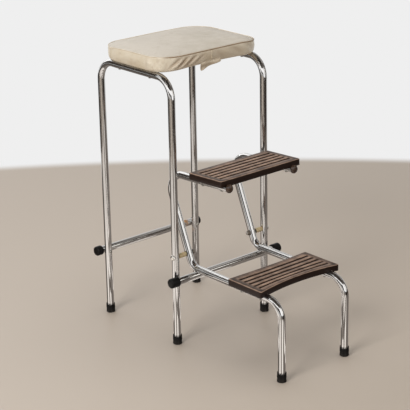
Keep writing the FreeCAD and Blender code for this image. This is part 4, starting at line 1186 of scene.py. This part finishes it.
sleeve_plastic = make_sleeve_plastic()
bright_nickel = make_nickel()
blackened = make_blackened()
for side, sign in SIDES:
    bolt = make_piece(f"domed_pivot_bolt_{side}", bolt_mesh(side, sign), "frame", bright_nickel)
    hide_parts(f"pivot_bolt_{side}")
    start = PIVOT + Vector((sign * (LEG_X - TUBE_RADIUS - PLAY), 0, 0))
    mesh = turned_mesh(f"sleeve {side}", SLEEVE_PROFILE, start, (-sign, 0, 0), 40)
    sleeve = make_piece(f"plastic_sleeve_{side}", mesh, "frame", sleeve_plastic)
    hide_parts(f"pivot_spacer_{side}")
    washers = make_piece(f"dark_washers_{side}", washers_mesh(side, sign), "frame", blackened)
    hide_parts(f"pivot_washers_{side}")
    nut = make_piece(f"hexagon_nut_{side}", nut_mesh(side, sign), "frame", blackened)
    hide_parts(f"pivot_nut_{side}")


# --- Step tubes --------------------------------------------------------------------------------
# The swing-out unit hangs on two S-shaped tubes of the same plated steel: leg, lower run, leaning upright,
# hairpin and upper run, bent in one piece each.

# Distance back and height where the runs' middle lines meet, and the radii of the three bends between them.
LOWER_RUN_Z = 0.204
UPPER_RUN_END = (-0.141525, 0.4496)
STEP_CORNERS = (
    (STEP_FOOT_Y, FLOOR_RUBBER), (STEP_FOOT_Y, LOWER_RUN_Z), (0.006242, LOWER_RUN_Z), (0.103106, 0.437850),
    UPPER_RUN_END,
)
STEP_BENDS = (0.045, 0.032, 0.045)

for side, sign in SIDES:
    line = bent_line(STEP_CORNERS, STEP_BENDS)
    mesh = sweep_tube(f"step tube {side}", sign * STEP_X, line)
    piece = make_piece(f"bent_step_tube_{side}", mesh, "step_unit", chrome)
    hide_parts(f"step_tube_{side}")


# --- Tube caps ---------------------------------------------------------------------------------
# Small domed plastic caps close the front ends of the upper runs; they are brown and shine like beads.

TILT = math.radians(2.75)
CAP_THICK = 0.0025
CAP_PROFILE = (
    (0, 0.0), (0.0042, 0.0002), (0.0076, 0.0010), (0.0097, 0.0024), (0.0108, 0.0042), (0.0111, 0.0056),
    (0.0111, 0.0070), (0.0107, 0.0075), (0.0097, 0.0075), (0.0096, 0.0070), (0.0096, CAP_THICK), (0, CAP_THICK),
)


def make_cap_plastic():
    # Injection-moulded polythene, dark brown, polished by hands.
    material, tree, shader, place = new_material("brown moulded polythene")
    mottle = add_node(tree, "ShaderNodeTexNoise", {"Vector": place, "Scale": 210.0, "Detail": 4.0})
    colour = add_node(
        tree, "ShaderNodeValToRGB", {"Fac": mottle},
        stops=((0.30, "#2A1E18"), (0.62, "#4A382C"), (0.85, "#776252")),
    )
    feed(shader, {"Base Color": colour, "Roughness": 0.24})
    return material


cap_plastic = make_cap_plastic()
along_run = Vector((0, math.cos(TILT), -math.sin(TILT)))
for side, sign in SIDES:
    tip = Vector((sign * STEP_X, *UPPER_RUN_END)) - along_run * CAP_THICK
    mesh = turned_mesh(f"run cap {side}", CAP_PROFILE, tip, along_run, 48)
    piece = make_piece(f"run_cap_{side}", mesh, "step_unit", cap_plastic)
    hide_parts(f"step_tube_cap_{side}")


# --- Treads ------------------------------------------------------------------------------------
# Injection-moulded brown plastic: a deck with five grooves for grip, a rounded rim, a skirt that steps over
# the tubes, and ribs and screw bosses underneath. Shoes have rubbed the crests of the ribs pale.

TREAD_HALF_X = 0.1325
TREAD_HALF_Y = 0.06025
TREAD_SKIRT = 0.017
TREAD_DECK = 0.0036
TREAD_WALL = 0.003
GROOVE_PITCH = 0.0183
GROOVE_HALF = 0.0044
GROOVE_DEPTH = 0.0026
GROOVES_MIDDLE_Y = -0.0015
GROOVE_END_X = TREAD_HALF_X - 0.0145
GROOVE_MIDDLES = [GROOVES_MIDDLE_Y + k * GROOVE_PITCH for k in (-2, -1, 0, 1, 2)]
PANEL_X = TREAD_HALF_X - 0.0085
PANEL_Y = TREAD_HALF_Y - 0.0085
TUBE_DROP = 0.0225
ARCH_RADIUS = 0.010
# Distances from the tube's middle at which the skirt's arch over it has points.
ARCH_STEPS = (0, 0.002, 0.004, 0.006, 0.0073, 0.0083, 0.0095)
RIB_BOTTOM_Z = -0.0111
BOSS_Y = 0.035
BOSS_TALL = 0.0097
BOSS_BOTTOM_Z = -0.0130
TREAD_SCREW = (0.0021, 0.0276)
TREAD_SCREW_Z = -0.0321
TREAD_SHARP_DEGREES = 50
# Depth of a groove, from 0 to 1, by how far a point is inside its edge.
GROOVE_SHAPE = ((-0.0006, 0.0), (-0.0002, 0.05), (0.0001, 0.25), (0.0004, 0.66), (0.0008, 0.92), (0.0014, 1.0))
# Middle of the deck, tilt, and how far the front edge and the rear edge bow to the rear or front.
TREADS = {
    "lower": (Vector((0, -0.215275, 0.2265)), 0.0, 0.0165, 0.0035),
    "upper": (Vector((0, -0.0745955, 0.468911)), -TILT, 0.0, 0.0),
}


def groove_share(inside):
    """The groove's depth where a point is this far inside its edge."""
    return float(np.interp(inside, [edge for edge, _ in GROOVE_SHAPE], [share for _, share in GROOVE_SHAPE]))


def filled(values, step):
    """The values in order, with more between them where they stand further apart than a step."""
    values = sorted(values)
    dense = []
    for low, high in zip(values, values[1:]):
        count = max(1, int(round((high - low) / step)))
        dense += [low + (high - low) * k / count for k in range(count)]
    return dense + [values[-1]]


def tread_mesh(name, front_bow, rear_bow):
    """The deck, rim, skirt and underside as one closed skin, with wear and a painted edge highlight stored on its
    points.
    """
    rows = {-PANEL_Y, PANEL_Y}
    for middle in GROOVE_MIDDLES:
        for way in (-1, 1):
            rows |= {middle + way * GROOVE_HALF - way * offset for offset, _ in GROOVE_SHAPE}
    rows = filled(rows, 0.0035)
    over_tube = STEP_X * PANEL_X / TREAD_HALF_X
    columns = {-PANEL_X, PANEL_X}
    for sign in (-1, 1):
        columns |= {sign * (GROOVE_END_X - offset) for offset, _ in GROOVE_SHAPE}
        columns |= {sign * (over_tube + way * reach) for reach in ARCH_STEPS for way in (-1, 1)}
    columns = filled([value for value in columns if abs(value) <= PANEL_X], 0.010)

    def bowed(x, y):
        """How far back a point lies once the long edges are bowed."""
        share = min(1.0, abs(y) / TREAD_HALF_Y)
        bow = front_bow * share ** 1.4 if y < 0 else -rear_bow * share
        return y + bow * (1 - (x / TREAD_HALF_X) ** 2)

    points, wear = [], []

    def keep(x, y, z, rubbed):
        """Adds a point and how pale it is made (shoe wear, and a painted highlight on the rim's edge), and gives its
        number.
        """
        points.append((x, bowed(x, y), z))
        wear.append(rubbed)
        return len(points) - 1

    grid = []
    for y in rows:
        line = []
        for x in columns:
            inside = max(GROOVE_HALF - abs(y - middle) for middle in GROOVE_MIDDLES)
            depth = groove_share(min(inside, GROOVE_END_X - abs(x)))
            # Shoes rub the ribs most, the plain ends and the outer strips less.
            trodden = 0.46 + 0.54 * clamp((GROOVE_END_X + 0.002 - abs(x)) / 0.004)
            trodden *= 1.0 if abs(y - GROOVES_MIDDLE_Y) < 2.5 * GROOVE_PITCH else 0.72
            line.append(keep(x, y, -GROOVE_DEPTH * depth, trodden * (1.0 - depth)))
        grid.append(line)
    faces = []
    for low, high in zip(grid, grid[1:]):
        for k in range(len(low) - 1):
            faces.append((low[k], low[k + 1], high[k + 1], high[k]))
    # Once round the grid's edge: place and point.
    border = [(columns[k], rows[0], grid[0][k]) for k in range(len(columns) - 1)]
    border += [(columns[-1], rows[k], grid[k][-1]) for k in range(len(rows) - 1)]
    border += [(columns[k], rows[-1], grid[-1][k]) for k in range(len(columns) - 1, 0, -1)]
    border += [(columns[0], rows[k], grid[k][0]) for k in range(len(rows) - 1, 0, -1)]

    def ring(inset, z, rubbed, rounding, arch=False):
        """The border's points at an inset and a height, with rounded corners, and arched over the tubes."""
        half_x, half_y = TREAD_HALF_X - inset, TREAD_HALF_Y - inset
        made = []
        for x, y, _ in border:
            px, py = x * half_x / PANEL_X, y * half_y / PANEL_Y
            over_x, over_y = abs(px) - (half_x - rounding), abs(py) - (half_y - rounding)
            if over_x > 0 and over_y > 0:
                reach = math.hypot(over_x, over_y)
                px = math.copysign(half_x - rounding + over_x * rounding / reach, px)
                py = math.copysign(half_y - rounding + over_y * rounding / reach, py)
            height = z
            if arch and abs(abs(py) - half_y) < 0.0005:
                away = abs(abs(px) - STEP_X)
                if away < ARCH_RADIUS:
                    height = max(z, -TUBE_DROP + math.sqrt(ARCH_RADIUS ** 2 - away ** 2))
            made.append(keep(px, py, height, rubbed))
        return made

    # The rim's rounded top edge is made paler than the rib crests: partly scuffing, partly a painted highlight.
    rings = [
        [index for _, _, index in border],
        ring(0.0045, 0.0, 0.42, 0.0008), ring(0.0024, 0.0, 0.60, 0.0016), ring(0.0013, -0.00022, 1.25, 0.0024),
        ring(0.0005, -0.0008, 1.25, 0.0031), ring(0.0001, -0.0015, 0.5, 0.0034), ring(0.0, -0.0023, 0.0, 0.0035),
        ring(0.0, -0.0085, -0.1, 0.0035), ring(0.0, -TREAD_SKIRT + 0.0005, -0.1, 0.0035, True),
        ring(0.0005, -TREAD_SKIRT, 0.1, 0.0031, True), ring(TREAD_WALL - 0.0004, -TREAD_SKIRT, 0.0, 0.0012, True),
        ring(TREAD_WALL, -TREAD_SKIRT + 0.0004, 0.0, 0.001, True), ring(TREAD_WALL, -TREAD_DECK - 0.001, 0.0, 0.001),
        ring(TREAD_WALL + 0.001, -TREAD_DECK, 0.0, 0.0008),
    ]
    faces += strips(rings) + [tuple(rings[-1])]
    mesh = bpy.data.meshes.new(name)
    mesh.from_pydata(points, [], faces)
    store_value(mesh, "wear", wear)
    return mesh


def underside_mesh():
    """Two long ribs and four screw bosses that stand down from the deck."""
    made = bmesh.new()
    for middle in (-TREAD_HALF_Y / 4, TREAD_HALF_Y / 4):
        box = bmesh.ops.create_cube(made, size=1.0)
        for vertex in box["verts"]:
            lower = vertex.co.z < 0
            thick = 0.0018 if lower else 0.0028
            vertex.co.x *= 2 * (TREAD_HALF_X - TREAD_WALL + 0.0005)
            vertex.co.y = middle + vertex.co.y * thick
            vertex.co.z = RIB_BOTTOM_Z if lower else -TREAD_DECK + 0.0003
    for x in (-STEP_X, STEP_X):
        for y in (-BOSS_Y, BOSS_Y):
            boss = bmesh.ops.create_cone(
                made, cap_ends=True, segments=28, radius1=0.0065, radius2=0.0071, depth=BOSS_TALL,
            )
            bmesh.ops.translate(made, verts=boss["verts"], vec=(x, y, BOSS_BOTTOM_Z + BOSS_TALL / 2))
    mesh = bpy.data.meshes.new("tread underside")
    made.to_mesh(mesh)
    made.free()
    return mesh


def make_tread_plastic():
    # High-impact polystyrene with a leather-like spark grain. It is warm brown where new, taupe and duller
    # where shoes have abraded it, with pale scratches along the tread.
    material, tree, shader, place = new_material("moulded brown polystyrene")
    worn = add_node(tree, "ShaderNodeAttribute", attribute_name="wear")
    cloud = add_node(tree, "ShaderNodeTexNoise", {"Vector": place, "Scale": 34.0, "Detail": 6.0, "Roughness": 0.62})
    stretched = add_node(tree, "ShaderNodeMapping", {"Vector": place, "Scale": (40.0, 620.0, 620.0)})
    scratch = add_node(tree, "ShaderNodeTexNoise", {"Vector": stretched, "Scale": 1.0, "Detail": 3.0})
    # The wear attribute holds shoe wear and, along the rim's rounded edge, a painted highlight.
    rubbed = add_node(tree, "ShaderNodeMath", {0: worn.outputs["Fac"], 1: cloud}, operation="MULTIPLY")
    pale = add_node(tree, "ShaderNodeMapRange", {"Value": rubbed, "From Min": 0.16, "From Max": 0.60})
    base = add_node(tree, "ShaderNodeMix", {0: pale, 6: "#22120A", 7: "#9B8170"}, data_type="RGBA")
    lines = add_node(
        tree, "ShaderNodeMapRange",
        {"Value": scratch, "From Min": 0.60, "From Max": 0.76, "To Min": 0.0, "To Max": 0.45},
    )
    lined = add_node(tree, "ShaderNodeMath", {0: lines, 1: worn.outputs["Fac"]}, operation="MULTIPLY")
    colour = add_node(tree, "ShaderNodeMix", {0: lined, 6: base, 7: "#A59584"}, data_type="RGBA")
    rough = add_node(tree, "ShaderNodeMapRange", {"Value": pale, "To Min": 0.40, "To Max": 0.50})
    # The mould's spark grain is 0.3 mm, drawn at 0.6 mm so that it shows.
    grain = add_node(tree, "ShaderNodeTexNoise", {"Vector": place, "Scale": 1600.0, "Detail": 2.0})
    fine = add_node(tree, "ShaderNodeBump", {"Height": grain, "Strength": 0.25, "Distance": 0.0002})
    cuts = add_node(
        tree, "ShaderNodeBump",
        {"Height": lined, "Strength": 0.2, "Distance": 0.0002, "Normal": fine},
    )
    feed(shader, {
        "Base Color": colour, "IOR": 1.5, "Specular IOR Level": 0.2, "Roughness": rough,
        "Normal": cuts,
    })
    return material


tread_plastic = make_tread_plastic()
for which, (middle, tilt, front_bow, rear_bow) in TREADS.items():
    work = bmesh.new()
    work.from_mesh(tread_mesh(f"{which} tread", front_bow, rear_bow))
    bmesh.ops.recalc_face_normals(work, faces=work.faces)
    work.from_mesh(underside_mesh())
    mesh = bpy.data.meshes.new(f"{which} moulded tread")
    work.to_mesh(mesh)
    work.free()
    mesh.transform(Matrix.Translation(middle) @ Matrix.Rotation(tilt, 4, "X"))
    mesh.shade_smooth()
    mesh.set_sharp_from_angle(angle=math.radians(TREAD_SHARP_DEGREES))
    piece = make_piece(f"moulded_tread_{which}", mesh, "step_unit", tread_plastic)
    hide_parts(f"{which}_tread")
    turn = Matrix.Rotation(tilt, 3, "X")
    set_screws(
        f"tread_screws_{which}",
        [middle + turn @ Vector((x, y, TREAD_SCREW_Z)) for x in (-STEP_X, STEP_X) for y in (-BOSS_Y, BOSS_Y)],
        [turn @ Vector((0, 0, 1))] * 4, TREAD_SCREW, "step_unit", f"{which}_tread_screws",
    )


# --- Floor, light and camera -------------------------------------------------------------------
# A plain warm grey studio floor that gives way to a white wall behind the stool. One large window from the
# left, a weaker one behind, and a room of bright and dark sheets that only the polished metal mirrors.

# The floor ends in a white wall: middle of its round edge, its radius and half the width in which it fades, as
# seen and as bright metal sees it.
SEEN_FLOOR = ((-2.403, -2.727, 0.0), 5.07, 0.04)
MIRRORED_FLOOR = ((-1.073, -1.253, 0.0), 2.86, 0.10)
# Painted reflections near the stool: the tones the floor glows with for glossy rays only, as bright and dark wedges
# that the tubes mirror: bearing in degrees about the nearest foot, from the front by the right, and tone.
GLOSSY_FLOOR_WEDGE_TONES = (
    (-180, "#544E49"), (-122, "#5C5550"), (-108, "#D8D1CB"), (-78, "#DDD6D0"), (-70, "#7C756F"), (-44, "#706963"),
    (-36, "#E2DBD5"), (-10, "#D4CDC7"), (-2, "#6A635E"), (66, "#5C5550"), (76, "#7A736D"), (104, "#7A736D"),
    (116, "#665F5A"), (140, "#7A736D"), (180, "#5C5550"),
)


def make_floor():
    # Matt painted screed, with a wide soft sheen.
    material, tree, shader, place = new_material("pale studio floor")
    flat = add_node(tree, "ShaderNodeVectorMath", {0: place, 1: (1.0, 1.0, 0.0)}, operation="MULTIPLY")
    path = add_node(tree, "ShaderNodeLightPath")
    ends = []
    for (middle, reach, fade), ray in ((SEEN_FLOOR, "Is Camera Ray"), (MIRRORED_FLOOR, "Is Glossy Ray")):
        away = add_node(tree, "ShaderNodeVectorMath", {0: flat, 1: middle}, operation="DISTANCE")
        far = add_node(
            tree, "ShaderNodeMapRange",
            {"Value": away, "From Min": reach - fade, "From Max": reach + fade},
            interpolation_type="SMOOTHSTEP",
        )
        ends.append(add_node(tree, "ShaderNodeMath", {0: path.outputs[ray], 1: far}, operation="MULTIPLY"))
    share = add_node(tree, "ShaderNodeMath", {0: ends[0], 1: ends[1]}, operation="MAXIMUM")
    feed(shader, {"Base Color": "#B7ACA1", "Roughness": 0.42, "Specular IOR Level": 0.2})
    white = add_node(tree, "ShaderNodeEmission", {"Color": "#EFEFEF", "Strength": 1.0})
    # Painted reflections: for glossy rays the floor near the stool glows in bright and dark wedges about each foot,
    # which polished tubes mirror as a room's furniture.
    offset = None
    for across, back, _ in FEET.values():
        from_foot = add_node(
            tree, "ShaderNodeVectorMath", {0: flat, 1: (across, back, 0.0)}, operation="SUBTRACT",
        )
        if offset is None:
            offset = from_foot
            continue
        long = [
            add_node(tree, "ShaderNodeVectorMath", {0: way}, operation="LENGTH")
            for way in (from_foot, offset)
        ]
        closer = add_node(tree, "ShaderNodeMath", {0: long[0], 1: long[1]}, operation="LESS_THAN")
        offset = add_node(tree, "ShaderNodeMix", {0: closer, 4: offset, 5: from_foot}, data_type="VECTOR")
    spot = add_node(tree, "ShaderNodeSeparateXYZ", {0: offset})
    ahead = add_node(tree, "ShaderNodeMath", {0: spot.outputs["Y"], 1: -1.0}, operation="MULTIPLY")
    bearing = add_node(tree, "ShaderNodeMath", {0: spot.outputs["X"], 1: ahead}, operation="ARCTAN2")
    turn = add_node(tree, "ShaderNodeMapRange", {"Value": bearing, "From Min": -math.pi, "From Max": math.pi})
    wedges = add_node(
        tree, "ShaderNodeValToRGB", {"Fac": turn},
        stops=[((degrees + 180) / 360, tone) for degrees, tone in GLOSSY_FLOOR_WEDGE_TONES],
    )
    gone = add_node(tree, "ShaderNodeVectorMath", {0: offset}, operation="LENGTH")
    glow = add_node(
        tree, "ShaderNodeMapRange",
        {"Value": gone, "From Min": 0.30, "From Max": 0.90, "To Min": 2.1, "To Max": 1.55},
    )
    painted_wedge_glow = add_node(tree, "ShaderNodeEmission", {"Color": wedges, "Strength": glow})
    reach = add_node(tree, "ShaderNodeVectorMath", {0: flat}, operation="LENGTH")
    near = add_node(
        tree, "ShaderNodeMapRange",
        {"Value": reach, "From Min": 1.50, "From Max": 1.80, "To Min": 1.0, "To Max": 0.0},
    )
    mirrored = add_node(
        tree, "ShaderNodeMath", {0: path.outputs["Is Glossy Ray"], 1: near}, operation="MULTIPLY",
    )
    close = add_node(tree, "ShaderNodeMixShader", {0: mirrored, 1: shader, 2: painted_wedge_glow})
    both = add_node(tree, "ShaderNodeMixShader", {0: share, 1: close, 2: white})
    feed(tree.nodes["Material Output"], {"Surface": both})
    return material


floor_mesh = bpy.data.meshes.new("studio floor")
floor_mesh.from_pydata([(-14, -14, 0), (14, -14, 0), (14, 14, 0), (-14, 14, 0)], [], [(0, 1, 2, 3)])
floor_mesh.materials.append(make_floor())
floor = add_object("studio_floor", floor_mesh)

world = bpy.data.worlds.new("studio")
bpy.context.scene.world = world
world.use_nodes = True
sky = world.node_tree
feed(sky.nodes["Background"], {"Color": "#F7F4EE", "Strength": 0.42})
# The world is white behind the stool, as the wall is, and dimmer as light.
path = add_node(sky, "ShaderNodeLightPath")
white_wall = add_node(sky, "ShaderNodeBackground", {"Color": "#EFEFEF", "Strength": 1.0})
bright = add_node(
    sky, "ShaderNodeMath", {0: path.outputs["Is Camera Ray"], 1: path.outputs["Is Glossy Ray"]}, operation="MAXIMUM",
)
both = add_node(sky, "ShaderNodeMixShader", {0: bright, 1: sky.nodes["Background"], 2: white_wall})
feed(sky.nodes["World Output"], {"Surface": both})

# Cards that only mirrors see: bearing in degrees from the front round by the right, width in degrees,
# distance, lower and upper edge, tone and strength. The low ones are for the upright tubes. The high ones put
# white streaks, with dark gaps between them, on the level and leaning tubes and on the bends.
CARDS = (
    (139, 100, 2.2, 0.02, 0.60, "#EFEFEF", 1.0), (-150, 50, 1.7, 0.02, 0.40, "#2E2926", 1.0),
    (-104, 34, 1.6, 0.02, 0.40, "#8E857D", 1.0), (-30, 22, 1.7, 0.02, 0.40, "#7A7068", 1.0),
    (8, 46, 1.5, 0.02, 0.34, "#3A332F", 1.0), (50, 40, 1.7, 0.02, 0.50, "#4A423C", 1.0),
    (-9, 38, 1.5, 0.40, 1.50, "#FDFCFD", 1.7), (-113, 30, 1.9, 0.35, 1.25, "#FDFCFD", 1.5),
    (-78, 44, 2.0, 0.62, 1.90, "#4E4741", 1.0), (-66, 100, 2.3, 1.90, 4.20, "#453F3A", 1.0),
    (20, 72, 2.3, 1.90, 4.20, "#6E6863", 1.0), (-62, 74, 1.05, 0.80, 1.18, "#FDFCFD", 1.7),
    (176, 52, 2.4, 1.10, 4.20, "#FCFCFD", 1.8), (-42, 26, 1.7, 0.40, 1.70, "#4A433D", 1.0),
    (108, 46, 2.5, 0.75, 1.60, "#544C46", 1.0), (98, 84, 2.4, 1.60, 4.20, "#CECAC7", 1.0),
    (58, 34, 1.8, 0.50, 1.90, "#5E5650", 1.0), (-150, 30, 2.2, 0.50, 2.40, "#4A433D", 1.0),
)
CARD_PANES = 8
CEILING_RADIUS = 2.2
CEILING_Z = 3.1


def add_card(name, points, faces, tone, strength):
    """An evenly glowing sheet that only mirrors see."""
    material = bpy.data.materials.new(name)
    material.use_nodes = True
    tree = material.node_tree
    glow = add_node(tree, "ShaderNodeEmission", {"Color": tone, "Strength": strength})
    feed(tree.nodes["Material Output"], {"Surface": glow})
    mesh = bpy.data.meshes.new(name)
    mesh.from_pydata(points, [], faces)
    mesh.materials.append(material)
    card = add_object(name.replace(" ", "_"), mesh)
    card.visible_camera = card.visible_diffuse = card.visible_shadow = card.visible_transmission = False


for number, (bearing, width, distance, low, top, tone, strength) in enumerate(CARDS):
    spots = []
    for k in range(CARD_PANES + 1):
        angle = math.radians(bearing + width * (k / CARD_PANES - 0.5))
        spots += [(distance * math.sin(angle), -distance * math.cos(angle), height) for height in (low, top)]
    panes = [(2 * k, 2 * k + 2, 2 * k + 3, 2 * k + 1) for k in range(CARD_PANES)]
    add_card(f"reflector card {number}", spots, panes, tone, strength)
# A dark glowing sheet above the cards, a painted dark reflection of a ceiling that only mirrors see.
rim = [
    (CEILING_RADIUS * math.cos(k * math.pi / 12), CEILING_RADIUS * math.sin(k * math.pi / 12), CEILING_Z)
    for k in range(24)
]
add_card("dim ceiling", rim, [tuple(range(24))], "#453F3A", 1.0)


def add_lamp(name, place, target, width, height, power, colour):
    """A rectangular lamp that faces its target."""
    light = bpy.data.lights.new(name, "AREA")
    light.shape = "RECTANGLE"
    light.size, light.size_y = width, height
    light.energy = power
    light.color = linear(colour)[:3]
    lamp = add_object(name, light)
    lamp.location = place
    lamp.rotation_euler = (Vector(target) - Vector(place)).to_track_quat("-Z", "Y").to_euler()


add_lamp("key_window", (-3.3, -0.9, 2.6), (0, 0, 0.3), 1.5, 1.8, 92, "#FFFCF7")
add_lamp("back_window", (-0.4, 3.6, 2.0), (0, 0, 0.3), 2.4, 1.4, 30, "#F8FAFF")
add_lamp("fill_wall", (2.6, -3.0, 1.8), (0, 0, 0.4), 2.0, 2.0, 13, "#FFF8EC")
add_lamp("ceiling", (0.2, 0.2, 3.4), (0, 0, 0), 2.4, 2.4, 37, "#FFFDF8")

# The photograph's viewpoint, as solved from the upright legs, the level tubes and the floor.
CAMERA_PLACE = (-2.40337, -2.72677, 1.64670)
camera_data = bpy.data.cameras.new("photograph")
camera_data.sensor_width = 36.0
camera_data.lens = 132.98
camera_data.clip_end = 60.0
camera = add_object("photograph", camera_data)
right = Vector((0.75543, -0.65500, -0.01742))
up = Vector((0.23315, 0.24386, 0.94137))
back = right.cross(up)
camera.matrix_world = Matrix.Translation(CAMERA_PLACE) @ Matrix((right, up, back)).transposed().to_4x4()
bpy.context.scene.camera = camera
bpy.context.scene.view_settings.view_transform = "Standard"
